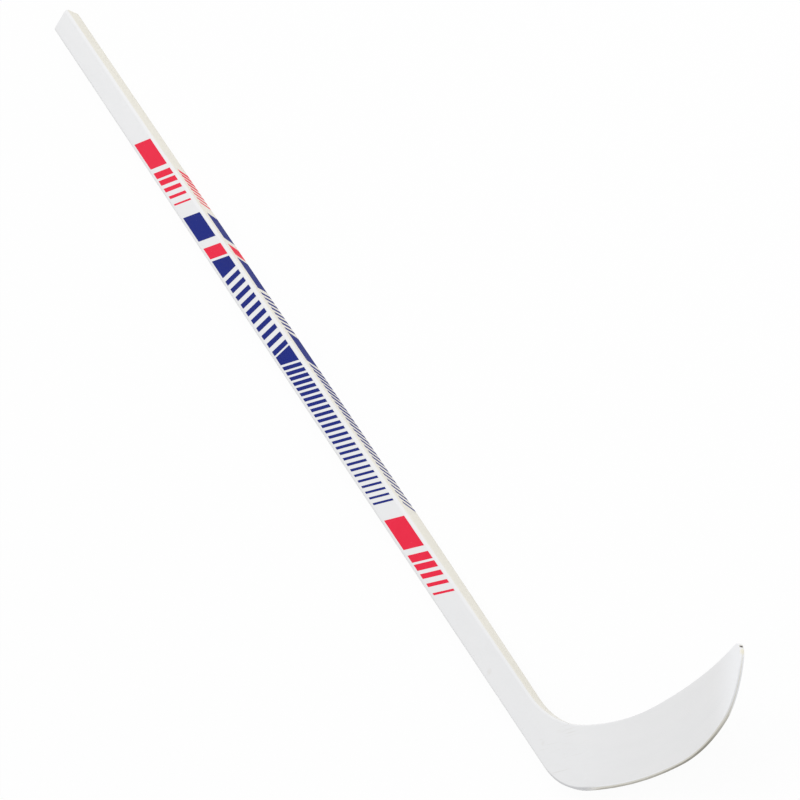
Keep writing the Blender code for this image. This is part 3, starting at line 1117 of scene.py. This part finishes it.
@dataclass(frozen=True)
class Paint:
    """The stick's satin paint: white on the broad faces and ivory on the narrow sides."""

    white: Triple = (0.780, 0.777, 0.779)
    cloudy: Triple = (0.756, 0.757, 0.761)
    # The whitest paint, which also serves as a painted highlight.
    fresh: Triple = (0.868, 0.872, 0.885)
    # Grey for the painted shade under the heel.
    painted_heel_shade: Triple = (0.600, 0.600, 0.615)
    ivory: Triple = (0.805, 0.777, 0.700)
    ivory_cloudy: Triple = (0.780, 0.752, 0.668)
    clouds: Pattern = Pattern((9.0, 40.0, 1.0), 3.0)
    streaks: Pattern = Pattern((14.0, 900.0, 1.0), 2.0)
    streak_share: float = 0.35
    patches: Span = (0.45, 0.95)
    dirt: Triple = (0.52, 0.47, 0.40)
    grit: Pattern = Pattern(EVEN, 2.0, (0.765, 0.80), (0.0, 0.45), 0.5, 620.0)
    scuff: Mark = Mark((1.484, 0.010, 0.008), 0.05, 0.20)
    scuff_lines: Pattern = Pattern((28.0, 620.0, 1.0), 2.0, (0.60, 0.70), fineness=1.0,
                                   turn=math.radians(-47.0))
    spots: tuple[Mark, ...] = (
        Mark((1.4708, 0.0309, 0.0082), 0.0013, 0.9),
        Mark((1.3402, -0.0063, 0.0082), 0.0045, 0.14),
        Mark((1.4578, -0.0015, 0.0082), 0.0030, 0.10),
    )
    knock: Mark = Mark((1.6800, 0.2405, 0.0745), 0.0042)
    knock_colour: Triple = (0.84, 0.80, 0.68)
    chip: Mark = Mark((1.6736, 0.2410, 0.0733), 0.0019)
    chip_colour: Triple = (0.035, 0.022, 0.035)
    bare_from: Span = (0.42, 0.58)
    stain: Pattern = Pattern((32.0, 120.0, 1.0), 2.0, (0.30, 0.48), (0.8, 1.0))
    stain_streaks: Pattern = Pattern((60.0, 900.0, 1.0), 4.0, (0.35, 0.7))
    stain_dark: Triple = (0.38, 0.37, 0.345)
    stain_light: Triple = (0.56, 0.55, 0.52)
    gloss: Pattern = Pattern((22.0, 160.0, 1.0), 4.0, (0.3, 0.75), (0.34, 0.48))
    peel: Pattern = Pattern(EVEN, 2.0, fineness=420.0)
    peel_share: float = 0.6
    raised_grain: Pattern = Pattern((10.0, 700.0, 1.0), 3.0)
    specular: float = 0.24

    def colour(self, bench: FinishBench) -> Socket:
        """Build the paint's colour.

        Args:
            bench: The bench of the material.

        Returns:
            The colour, with soft clouds, faint streaks along the stick and a few specks.
        """
        streaks = bench.product(bench.clouds(self.streaks), self.streak_share)
        patchy = bench.spread(bench.sum(bench.clouds(self.clouds), streaks), self.patches)
        # The whiteness attribute turns the paint grey below 0, as painted shade under the heel, and
        # towards the whitest above 0, partly as a painted highlight.
        fresh = bench.attribute(PAINTED_LIGHT_AND_WHITENESS)
        base_white = bench.blend(patchy, self.white, self.cloudy)
        base_white = bench.blend(bench.spread(fresh, (0.0, -1.0)), base_white, self.painted_heel_shade)
        white = bench.blend(fresh, base_white, self.fresh)
        ivory = bench.blend(patchy, self.ivory, self.ivory_cloudy)
        coat = bench.blend(bench.attribute(IVORY), white, ivory)
        scuffs = bench.product(bench.clouds(self.scuff_lines), bench.near(self.scuff))
        spots = [bench.near(spot) for spot in self.spots]
        return bench.blend(bench.sum(bench.clouds(self.grit), scuffs, *spots), coat, self.dirt)

    def bare_share(self, bench: FinishBench, ragged: Pattern, depth: float) -> Socket:
        """Return how bare a piece is, with a ragged edge of the paint."""
        ragged = bench.product(bench.sum(bench.clouds(ragged), -0.5), depth)
        return bench.spread(bench.sum(bench.attribute(BARE), ragged), self.bare_from)

    def over(self, bench: FinishBench, bare: Socket, coat: Socket, under: Socket) -> Socket:
        """Return the colour of a painted piece.

        Args:
            bench: The bench of the material.
            bare: Where the piece is bare.
            coat: The colour of the paint.
            under: The colour under it, which is stained in streaks along the blade's edge.

        Returns:
            The colour, with the cream knock and the small dark chip by the blade's tip.
        """
        share = bench.product(bench.attribute(STAIN), bench.clouds(self.stain))
        grime = bench.blend(bench.clouds(self.stain_streaks), self.stain_dark, self.stain_light)
        colour = bench.blend(bare, coat, bench.blend(share, under, grime, "MULTIPLY"))
        colour = bench.blend(bench.near(self.knock), colour, self.knock_colour)
        return bench.blend(bench.near(self.chip), colour, self.chip_colour)

    def relief(self, bench: FinishBench) -> Socket:
        """Return the height of the paint's slight orange-peel and of the grain under it."""
        peel = bench.product(bench.clouds(self.peel), self.peel_share)
        return bench.sum(peel, bench.product(bench.clouds(self.raised_grain), 1.0 - self.peel_share))


@dataclass(frozen=True)
class PaintedWood:
    """A wooden piece: its outside painted, and bare where the paint stops or is sawn through."""

    name: str
    light: Triple
    dark: Triple
    duller: float
    rings: float
    ring_stretch: float = 2.5
    fibres: Pattern = Pattern((16.0, 2600.0, 1.0), 4.0, roughness=0.6)
    share: float = 0.6
    grain: Span = (0.45, 0.80)
    ragged: Pattern = Pattern((260.0, 700.0, 1.0), 3.0)
    raggedness: float = 0.7
    depth: float = 0.00006
    paint: Paint = Paint()

    def material(self) -> Material:
        """Build the finish.

        Returns:
            The material.
        """
        bench = FinishBench(self.name)
        fibres = bench.clouds(self.fibres)
        bands = bench.clouds(Pattern((self.ring_stretch, self.rings, 1.0), 2.0))
        grain = bench.sum(bench.product(fibres, self.share), bench.product(bands, self.share))
        wood = bench.blend(bench.spread(grain, self.grain), self.light, self.dark)
        bare = self.paint.bare_share(bench, self.ragged, self.raggedness)
        colour = self.paint.over(bench, bare, self.paint.colour(bench), wood)
        gloss = bench.sum(bench.clouds(self.paint.gloss), bench.product(bare, self.duller))
        height = bench.sum(self.paint.relief(bench), bench.product(fibres, bare))
        return bench.finish(colour, gloss, height, self.depth, self.paint.specular)


@dataclass(frozen=True)
class PaintedGlass:
    """A glass-fibre sheet or cloth under paint: its weave shows faintly, and its cut edge is bare."""

    name: str
    cut_edge: Triple
    weave: float
    weave_turn: float
    weave_colour: Triple = (0.55, 0.55, 0.56)
    weave_share: float = 0.10
    weave_raised: Span = (0.15, 0.6)
    distortion: float = 0.6
    showing: Pattern = Pattern((24.0, 55.0, 1.0), 2.0, (0.50, 0.66))
    fibres: Pattern = Pattern((80.0, 1400.0, 1.0), 3.0, (0.3, 0.7))
    fibre_colour: Triple = (0.66, 0.65, 0.60)
    ragged: Pattern = Pattern((300.0, 900.0, 1.0), 3.0)
    raggedness: float = 0.5
    depth: float = 0.00005
    paint: Paint = Paint()

    def material(self) -> Material:
        """Build the finish.

        Returns:
            The material.
        """
        bench = FinishBench(self.name)
        threads = bench.mapped(bench.stick_map(), Rotation=(0.0, 0.0, self.weave_turn))
        waves = {"Vector": threads, "Scale": self.weave, "Distortion": self.distortion,
                 "Detail": 1.0}
        weft, warp = (bench.add("ShaderNodeTexWave", waves, bands_direction=way).outputs["Fac"]
                      for way in ("X", "Y"))
        cloth = bench.product(weft, warp)
        showing = bench.clouds(self.showing)
        faint = bench.product(bench.product(cloth, showing), self.weave_share)
        coat = bench.blend(faint, self.paint.colour(bench), self.weave_colour)
        cut = bench.blend(bench.clouds(self.fibres), self.cut_edge, self.fibre_colour)
        bare = self.paint.bare_share(bench, self.ragged, self.raggedness)
        colour = self.paint.over(bench, bare, coat, cut)
        raised = bench.product(cloth, bench.spread(showing, (0.0, 1.0), self.weave_raised))
        height = bench.sum(self.paint.relief(bench), raised)
        gloss = bench.clouds(self.paint.gloss)
        return bench.finish(colour, gloss, height, self.depth, self.paint.specular)


@dataclass(frozen=True)
class Ink:
    """A screen-printed ink: solid, satin, a little cloudy, and scuffed in a few places."""

    name: str
    full: Triple
    thin: Triple
    scuff: Triple = (0.62, 0.62, 0.64)
    clouds: Pattern = Pattern(EVEN, 3.0, fineness=70.0)
    pulled: Pattern = Pattern((60.0, 900.0, 900.0), 3.0, fineness=1.0)
    pulled_share: float = 0.4
    patches: Span = (0.50, 0.95)
    grit: Pattern = Pattern(EVEN, 3.0, (0.72, 0.76), (0.0, 0.8), 0.6, 900.0)
    peel: Pattern = Pattern(EVEN, 2.0, fineness=480.0)
    gloss_from: Span = (0.3, 0.7)
    gloss: Span = (0.37, 0.50)
    depth: float = 0.00003
    specular: float = 0.06

    def material(self) -> Material:
        """Build the finish.

        Returns:
            The material.
        """
        bench = FinishBench(self.name)
        clouds = bench.clouds(self.clouds)
        pulled = bench.product(bench.clouds(self.pulled), self.pulled_share)
        patchy = bench.spread(bench.sum(clouds, pulled), self.patches)
        ink = bench.blend(patchy, self.full, self.thin)
        colour = bench.blend(bench.clouds(self.grit), ink, self.scuff)
        gloss = bench.spread(clouds, self.gloss_from, self.gloss)
        return bench.finish(colour, gloss, bench.clouds(self.peel), self.depth, self.specular)


@dataclass(frozen=True)
class Ply:
    """A glued piece: the plain solid it stands for, its layer, stations, finish and slot."""

    node: str
    layer: Layer
    stations: Sequence[Station]
    finish: Material
    slot: str


@dataclass
class Workshop:
    """What every sub-assembly needs: the drawing, the coating and a record of what was made."""

    drawing: StickDrawing
    coating: Coating
    made: list[str] = field(default_factory=list)

    def hand_over(self, piece: bpy.types.Object, slot: Optional[str] = None,
                  node: Optional[str] = None) -> None:
        """Fix a finished piece to the stick's body and report it.

        Args:
            piece: The finished piece.
            slot: The name of the piece's material slot; not used.
            node: The plain solid that it stands for.
        """
        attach(piece, BODY)
        if node:
            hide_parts(node)
        self.made.append(piece.name)
        REPORT.info("%s: %d faces%s", piece.name, len(piece.data.polygons),
                    f", stands for {node}" if node else "")

    def glue(self, ply: Ply, side: int = 1, ending: str = "") -> None:
        """Make one glued piece and put it in its solid's place.

        Args:
            ply: The piece.
            side: 1 in front of the middle plane, -1 behind it.
            ending: The ending of its name.
        """
        cutter = SectionCutter(self.drawing, self.coating, ply.layer, side)
        rings = [cutter.ring(station) for station in ply.stations]
        node = ply.node + ending
        piece = Lofter(ply.layer.covers()).loft(f"{node}_finished", rings, ply.finish)
        self.hand_over(piece, ply.slot, node)

    def glue_pairs(self, *plies: Ply) -> None:
        """Make glued pieces in front of the middle plane, and then the same behind it.

        Args:
            plies: The pieces, from the middle outward.
        """
        for side, ending in ((1, "_front"), (-1, "_back")):
            for ply in plies:
                self.glue(ply, side, ending)


@dataclass
class Shaft:
    """The shaft: a core, two laminations, two birch veneers and two glass sheets."""

    workshop: Workshop
    core_steps: int = 4
    lamination_steps: int = 6
    veneer_steps: int = 6
    glass_steps: int = 8
    strips: int = 6
    side_finish: PaintedWood = PaintedWood(
        "ivory_painted_ash", (0.66, 0.54, 0.37), (0.47, 0.35, 0.21), 0.22, 420.0)
    veneer_finish: PaintedWood = PaintedWood(
        "painted_birch_veneer", (0.74, 0.64, 0.48), (0.60, 0.49, 0.34), 0.18, 700.0)
    glass_finish: PaintedGlass = PaintedGlass(
        "white_painted_glass_sheet", (0.76, 0.75, 0.71), 260.0, 0.0)

    def build(self) -> None:
        """Build every piece of the shaft."""
        drawing = self.workshop.drawing
        sizes = drawing.sizes
        wood = self.side_finish.material()
        strips = self.strips
        core = Layer(drawing.core_back, drawing.core_face, self.core_steps, strips)
        cheek = Layer(drawing.core_face, drawing.lamination_face, self.lamination_steps, strips)
        veneer = Layer(drawing.veneer_bed, drawing.glass_bed, self.veneer_steps, strips)
        glass = Layer(drawing.glass_bed, drawing.surface, self.glass_steps, strips, True)
        fork = drawing.above_throat(sizes.fork_above_throat)
        planed = drawing.down_shaft(drawing.veneer_end + sizes.glue_line)
        stand_back = sizes.butt_ease - sizes.glass_thickness / 2
        start = sizes.butt_ease - math.sqrt(sizes.butt_ease ** 2 - stand_back ** 2)
        start = drawing.down_shaft(start)
        cloth = drawing.above_throat(sizes.cloth_above_throat)
        self.workshop.glue(Ply("shaft_core", core, drawing.stations(0.0, fork), wood, "ivory_paint"))
        self.workshop.glue_pairs(
            Ply("shaft_lamination", cheek, self.cheek_stations(), wood, "ivory_paint"),
            Ply("shaft_veneer", veneer, drawing.stations(0.0, planed),
                self.veneer_finish.material(), "pale_veneer"),
            Ply("shaft_glass", glass, drawing.stations(start, cloth),
                self.glass_finish.material(), "white_glass_sheet"),
        )

    def cheek_stations(self) -> list[Station]:
        """Find the stations of a lamination, which runs on as a cheek of the fork to the scarf.

        Returns:
            The stations, doubled where the veneer ends and where a throat block begins.
        """
        drawing = self.workshop.drawing
        sizes = drawing.sizes
        rebate = drawing.veneer_end + sizes.glue_line
        nose = drawing.nose_number()
        stations = drawing.stations(0.0, drawing.down_shaft(rebate))
        stations += drawing.stations(drawing.down_shaft(rebate + sizes.step_gap), nose)
        for station in drawing.stations(nose + sizes.step_gap, 1 + sizes.scarf_share):
            sawn = station.sawn(sizes.shaft_width / 2)
            stations.append(Station(station.outer, sawn, station.run))
        return stations


@dataclass
class Throat:
    """The two wedges glued beside the fork, which widen the throat on the toe side."""

    workshop: Workshop
    steps: int = 8
    strips: int = 4
    finish: PaintedWood = PaintedWood(
        "ivory_painted_throat_block", (0.64, 0.52, 0.36), (0.46, 0.35, 0.22), 0.22, 500.0)

    def build(self) -> None:
        """Build both wedges."""
        drawing = self.workshop.drawing
        sizes = drawing.sizes
        layer = Layer(drawing.core_face, drawing.glass_bed, self.steps, self.strips)
        stations = [
            Station(station.sawn(sizes.shaft_width / 2), station.inner, station.run)
            for station in drawing.stations(drawing.nose_number(), 1 + sizes.scarf_share)
        ]
        wood = self.finish.material()
        self.workshop.glue_pairs(Ply("throat_block", layer, stations, wood, "ivory_paint"))


@dataclass
class Blade:
    """The blade: a core with its tongue, two face plies and two cloth skins."""

    workshop: Workshop
    steps: int = 8
    strips: int = 14
    core_finish: PaintedWood = PaintedWood(
        "cream_blade_core", (0.82, 0.80, 0.73), (0.76, 0.73, 0.65), 0.20, 600.0)
    ply_finish: PaintedWood = PaintedWood(
        "olive_blade_ply", (0.72, 0.70, 0.64), (0.63, 0.60, 0.53), 0.26, 500.0)
    skin_finish: PaintedGlass = PaintedGlass(
        "white_painted_glass_cloth", (0.80, 0.79, 0.75), 150.0, math.radians(40.0))

    def build(self) -> None:
        """Build every piece of the blade."""
        drawing = self.workshop.drawing
        sizes = drawing.sizes
        fork = drawing.above_throat(sizes.fork_above_throat)
        cloth = drawing.above_throat(sizes.cloth_above_throat)
        tip = drawing.shared[-1]
        core = Layer(drawing.core_back, drawing.core_face, self.steps, self.strips)
        ply = Layer(drawing.core_face, drawing.glass_bed, self.steps, self.strips)
        skin = Layer(drawing.glass_bed, drawing.surface, self.steps, self.strips, True)
        self.workshop.glue(Ply("blade_core", core, drawing.stations(fork, tip),
                               self.core_finish.material(), "cream_wood"))
        self.workshop.glue_pairs(
            Ply("blade_ply", ply, drawing.stations(1 + sizes.scarf_share, tip),
                self.ply_finish.material(), "olive_wood"),
            Ply("blade_skin", skin, drawing.stations(cloth, tip),
                self.skin_finish.material(), "white_glass_sheet"),
        )


@dataclass(frozen=True)
class BarRow:
    """A row of slanted printed bars, from its first place down, with its first and last width."""

    name: str
    first: float
    pitch: float
    count: int
    wide: float
    thin: float
    slant: float


@dataclass(frozen=True)
class Block:
    """A four-cornered printed block on a face of the shaft, by its ends half way across."""

    start: float
    end: float
    start_slant: float
    end_slant: float


@dataclass(frozen=True)
class FacePlan:
    """What is printed on a face of the shaft, between two measures across it."""

    low: float
    high: float
    navy_blocks: Sequence[Block]
    navy_rows: Sequence[BarRow]
    red_blocks: Sequence[Block]
    red_rows: Sequence[BarRow]


class BarTree(NodeBench):
    """The Geometry Nodes tree that lays a row of slanted, thinning bars."""

    NUMBERS = ("First", "Pitch", "Wide", "Thin", "Slant", "Low", "High", "Bottom", "Top")

    def __init__(self) -> None:
        """Build the tree once."""
        super().__init__(bpy.data.node_groups.new("printed_bar_row", "GeometryNodeTree"))
        kinds = dict.fromkeys(self.NUMBERS, "NodeSocketFloat")
        kinds.update(Count="NodeSocketInt", Ink="NodeSocketMaterial")
        new_socket = self.tree.interface.new_socket
        self.sockets = {name: new_socket(name, in_out="INPUT", socket_type=kind).identifier
                        for name, kind in kinds.items()}
        new_socket("Bars", in_out="OUTPUT", socket_type="NodeSocketGeometry")
        self.wire()

    def less(self, first: object, second: object) -> Socket:
        """Return the first number less the second."""
        return self.maths("SUBTRACT", first, second)

    def vector(self, **parts: Socket) -> Socket:
        """Return the vector of some numbers."""
        return self.add("ShaderNodeCombineXYZ", parts).outputs[0]

    def wire(self) -> None:
        """Lay a box at every place of the row, then size and slant it."""
        given = self.add("NodeGroupInput").outputs
        index = self.add("GeometryNodeInputIndex").outputs[0]
        last = self.maths("MAXIMUM", self.less(given["Count"], 1.0), 1.0)
        share = self.maths("DIVIDE", index, last)
        along = self.sum(given["First"], self.product(given["Pitch"], index))
        middle = self.product(self.sum(given["Low"], given["High"]), 0.5)
        level = self.product(self.sum(given["Bottom"], given["Top"]), 0.5)
        place = self.vector(X=along, Y=middle, Z=level)
        points = self.add("GeometryNodePoints", {"Count": given["Count"], "Position": place})
        shrink = self.less(given["Thin"], given["Wide"])
        width = self.sum(given["Wide"], self.product(shrink, share))
        height = self.less(given["High"], given["Low"])
        size = self.vector(X=width, Y=height, Z=self.less(given["Top"], given["Bottom"]))
        box = self.add("GeometryNodeMeshCube", {"Size": (1.0, 1.0, 1.0)})
        laid = self.add("GeometryNodeInstanceOnPoints", {
            "Points": points.outputs[0], "Instance": box.outputs[0], "Scale": size})
        real = self.add("GeometryNodeRealizeInstances", {0: laid.outputs[0]})
        position = self.add("GeometryNodeInputPosition").outputs[0]
        across = self.add("ShaderNodeSeparateXYZ", {0: position}).outputs["Y"]
        shift = self.vector(X=self.product(across, given["Slant"]))
        slanted = self.add("GeometryNodeSetPosition", {
            "Geometry": real.outputs[0], "Offset": shift})
        inked = self.add("GeometryNodeSetMaterial", {
            "Geometry": slanted.outputs[0], "Material": given["Ink"]})
        self.add("NodeGroupOutput", {0: inked.outputs[0]})

    def lay(self, name: str, values: dict[str, object]) -> bpy.types.Mesh:
        """Make one row of bars as a plain, flat mesh.

        Args:
            name: The mesh's name.
            values: A value for every input of the tree.

        Returns:
            The mesh.
        """
        maker = put_in_scene(f"{name}_maker", bpy.data.meshes.new(f"{name}_seed"))
        modifier = maker.modifiers.new("bars", "NODES")
        modifier.node_group = self.tree
        for label, value in values.items():
            modifier[self.sockets[label]] = value
        bpy.context.view_layer.update()
        graph = bpy.context.evaluated_depsgraph_get()
        mesh = bpy.data.meshes.new_from_object(maker.evaluated_get(graph))
        maker.modifiers.remove(modifier)
        bpy.data.objects.remove(maker, do_unlink=True)
        mesh.name = name
        return mesh


@dataclass
class Prints:
    """The printed bands of the shaft: navy and red blocks, and rows of slanted bars."""

    workshop: Workshop
    film: float = 0.00005
    sunk: float = 0.00008
    broad_slant: float = 1.05
    narrow_slant: float = 0.90
    bar_slant: float = 1.06
    strip: float = 0.010
    navy: Ink = Ink("navy_ink", (0.006, 0.015, 0.182), (0.009, 0.020, 0.204))
    red: Ink = Ink("red_ink", (0.790, 0.018, 0.054), (0.810, 0.024, 0.064))

    def build(self) -> None:
        """Print both broad faces and both narrow sides."""
        tree = BarTree()
        navy = self.navy.material()
        red = self.red.material()
        for face in Face:
            plan = self.broad_plan() if face.value[0] == 0 else self.narrow_plan()
            label = face.name.lower()
            self.print_blocks(f"navy_blocks_{label}", face, plan, plan.navy_blocks, navy)
            self.print_blocks(f"red_blocks_{label}", face, plan, plan.red_blocks, red)
            for kind, ink, rows in (("navy", navy, plan.navy_rows), ("red", red, plan.red_rows)):
                for row in rows:
                    values = {"First": row.first, "Pitch": row.pitch, "Wide": row.wide,
                              "Thin": row.thin, "Slant": row.slant, "Low": plan.low,
                              "High": plan.high, "Bottom": -self.sunk, "Top": self.film,
                              "Count": row.count, "Ink": ink}
                    self.drape(tree.lay(f"{kind}_{row.name}_{label}", values), face)

    def broad_plan(self) -> FacePlan:
        """Plan the prints of a broad face.

        Returns:
            The plan.
        """
        slant = self.broad_slant
        fence_slant = 0.39
        return FacePlan(
            low=-0.0101,
            high=0.0114,
            navy_blocks=(
                Block(0.4819, 0.5347, slant, slant),
                Block(0.5782, 0.6077, slant, fence_slant),
                Block(0.7735, 0.7956, fence_slant, slant),
            ),
            navy_rows=(
                BarRow("fence", 0.6195, 0.0163, 10, 0.0085, 0.0085, fence_slant),
                BarRow("bars", 0.8030, 0.0103, 26, 0.0068, 0.0035, self.bar_slant),
            ),
            red_blocks=(
                Block(0.5502, 0.5736, slant, slant),
                Block(0.3110, 0.3700, slant, slant),
                Block(1.0900, 1.1420, slant, slant),
            ),
            red_rows=(
                BarRow("dashes_high", 0.3860, 0.0165, 5, 0.0130, 0.0035, slant),
                BarRow("dashes_low", 1.1580, 0.0150, 5, 0.0125, 0.0035, slant),
            ),
        )

    def narrow_plan(self) -> FacePlan:
        """Plan the prints of a narrow side.

        Returns:
            The plan.
        """
        slant = self.narrow_slant
        stroke_slant = 0.45
        return FacePlan(
            low=-0.0035,
            high=0.0067,
            navy_blocks=(
                Block(0.5000, 0.5565, slant, slant),
                Block(0.5985, 0.6625, slant, stroke_slant),
                Block(0.7555, 0.8140, slant, slant),
            ),
            navy_rows=(
                BarRow("strokes", 0.6740, 0.0104, 8, 0.0052, 0.0052, stroke_slant),
                BarRow("bars", 0.8236, 0.0104, 26, 0.0064, 0.0040, self.bar_slant),
            ),
            red_blocks=(Block(0.5690, 0.5925, slant, slant),),
            red_rows=(BarRow("strokes", 0.4040, 0.0103, 8, 0.0074, 0.0042, slant),),
        )

    def drape(self, mesh: bpy.types.Mesh, face: Face) -> None:
        """Carry a flat print onto its face of the shaft, lay it there and hand it over.

        Args:
            mesh: The print, with its height over the paint as Z.
            face: The face of the shaft.
        """
        drawing = self.workshop.drawing
        sideways, upward = face.value
        side_face = drawing.sizes.shaft_width / 2 - drawing.sizes.ink_room
        for vertex in mesh.vertices:
            along, across, height = vertex.co
            if sideways:
                vertex.co = (along, sideways * (side_face + height), -sideways * across)
            else:
                flat = Vector((along, upward * across))
                vertex.co = drawing.bent(flat, upward * (drawing.surface(flat) + height))
        self.workshop.hand_over(put_in_scene(mesh.name, mesh))

    def print_blocks(self, name: str, face: Face, plan: FacePlan, blocks: Sequence[Block],
                     ink: Material) -> None:
        """Print the blocks of one colour on a face, as one film.

        Args:
            name: The piece's name.
            face: The face of the shaft.
            plan: What is printed there.
            blocks: The blocks.
            ink: Their finish.
        """
        shape = bmesh.new()
        corners = [(plan.low, -self.sunk), (plan.high, -self.sunk),
                   (plan.high, self.film), (plan.low, self.film)]
        for block in blocks:
            steps = math.ceil((block.end - block.start) / self.strip)
            rings = []
            for step in range(steps + 1):
                start = mix(block.start, block.end, step / steps)
                slant = mix(block.start_slant, block.end_slant, step / steps)
                rings.append([shape.verts.new((start + slant * y, y, z)) for y, z in corners])
            close_skin(shape, rings)
        face_outward(shape)
        self.drape(mesh_of(shape, name, ink), face)


@dataclass(frozen=True)
class Studio:
    """The plain white studio: floor, soft light and the camera of the photograph."""

    camera_place: Triple = (3.9822, 1.2080, 2.1508)
    toward_camera: Triple = (0.7771, 0.2934, 0.5567)
    picture_right: Triple = (0.3613, 0.5162, -0.7765)
    focal_pixels: float = 3947.5
    picture_width: int = 800
    sensor_width: float = 36.0
    nearest: float = 0.05
    farthest: float = 60.0
    floor_size: float = 14.0
    floor_drop: float = 0.0101
    floor_white: Triple = (0.84, 0.84, 0.84)
    floor_glow: float = 0.95
    white: Triple = (1.0, 1.0, 1.0)
    sky: Triple = (0.99, 0.995, 1.0)
    sky_strength: float = 0.755
    key_place: Triple = (0.30, 2.20, 3.35)
    key_target: Triple = (0.45, 0.0, 0.0)
    key_size: float = 2.6
    key_power: float = 64.0

    def build(self) -> None:
        """Set up the camera, floor and lights."""
        self.place_camera()
        self.lay_floor()
        self.light()
        bpy.context.scene.view_settings.view_transform = "Standard"

    def place_camera(self) -> None:
        """Place the camera where the photograph was taken from."""
        back = Vector(self.toward_camera).normalized()
        right = Vector(self.picture_right)
        right = (right - back * right.dot(back)).normalized()
        data = bpy.data.cameras.new("photo_camera")
        data.sensor_width = self.sensor_width
        data.lens = self.focal_pixels / self.picture_width * self.sensor_width
        data.clip_start = self.nearest
        data.clip_end = self.farthest
        camera = put_in_scene("photo_camera", data)
        axes = Matrix((right, back.cross(right), back)).transposed()
        camera.matrix_world = Matrix.Translation(self.camera_place) @ axes.to_4x4()
        bpy.context.scene.camera = camera

    def lay_floor(self) -> None:
        """Lay a white floor, which keeps the object's shadow and is white in reflections."""
        half = self.floor_size / 2
        shape = bmesh.new()
        corners = ((-half, -half), (half, -half), (half, half), (-half, half))
        shape.faces.new([shape.verts.new((x, y, -self.floor_drop)) for x, y in corners])
        material = bpy.data.materials.new("studio_floor")
        material.use_nodes = True
        bench = NodeBench(material.node_tree)
        bench.tree.nodes.clear()
        matt = bench.add("ShaderNodeBsdfDiffuse", {"Color": self.floor_white})
        glow = bench.add("ShaderNodeEmission", {"Color": self.white, "Strength": 1.0})
        bench.show_seen(self.floor_glow, matt, glow, "ShaderNodeOutputMaterial")
        put_in_scene("floor", mesh_of(shape, "floor", material))

    def light(self) -> None:
        """Light the stick with a soft white sky and one large lamp over the toe side."""
        world = bpy.data.worlds.new("studio_sky")
        bpy.context.scene.world = world
        world.use_nodes = True
        bench = NodeBench(world.node_tree)
        bench.tree.nodes.clear()
        soft, white = (bench.add("ShaderNodeBackground", {"Color": colour, "Strength": strength})
                       for colour, strength in ((self.sky, self.sky_strength), (self.white, 1.0)))
        bench.show_seen(1.0, soft, white, "ShaderNodeOutputWorld")
        lamp = bpy.data.lights.new("key_lamp", "AREA")
        lamp.shape = "SQUARE"
        lamp.size = self.key_size
        lamp.energy = self.key_power
        key = put_in_scene("key_lamp", lamp)
        key.location = self.key_place
        aim = Vector(self.key_target) - Vector(self.key_place)
        key.rotation_euler = aim.to_track_quat("-Z", "Y").to_euler()


def main() -> None:
    """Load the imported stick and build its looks, class by class."""
    logging.basicConfig(level=logging.INFO, format="%(name)s: %(message)s")
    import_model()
    workshop = Workshop(StickDrawing(StickSizes()), Coating())
    Shaft(workshop).build()
    Throat(workshop).build()
    Blade(workshop).build()
    Prints(workshop).build()
    Studio().build()
    REPORT.info("%d pieces made", len(workshop.made))


if __name__ == "__main__":
    main()
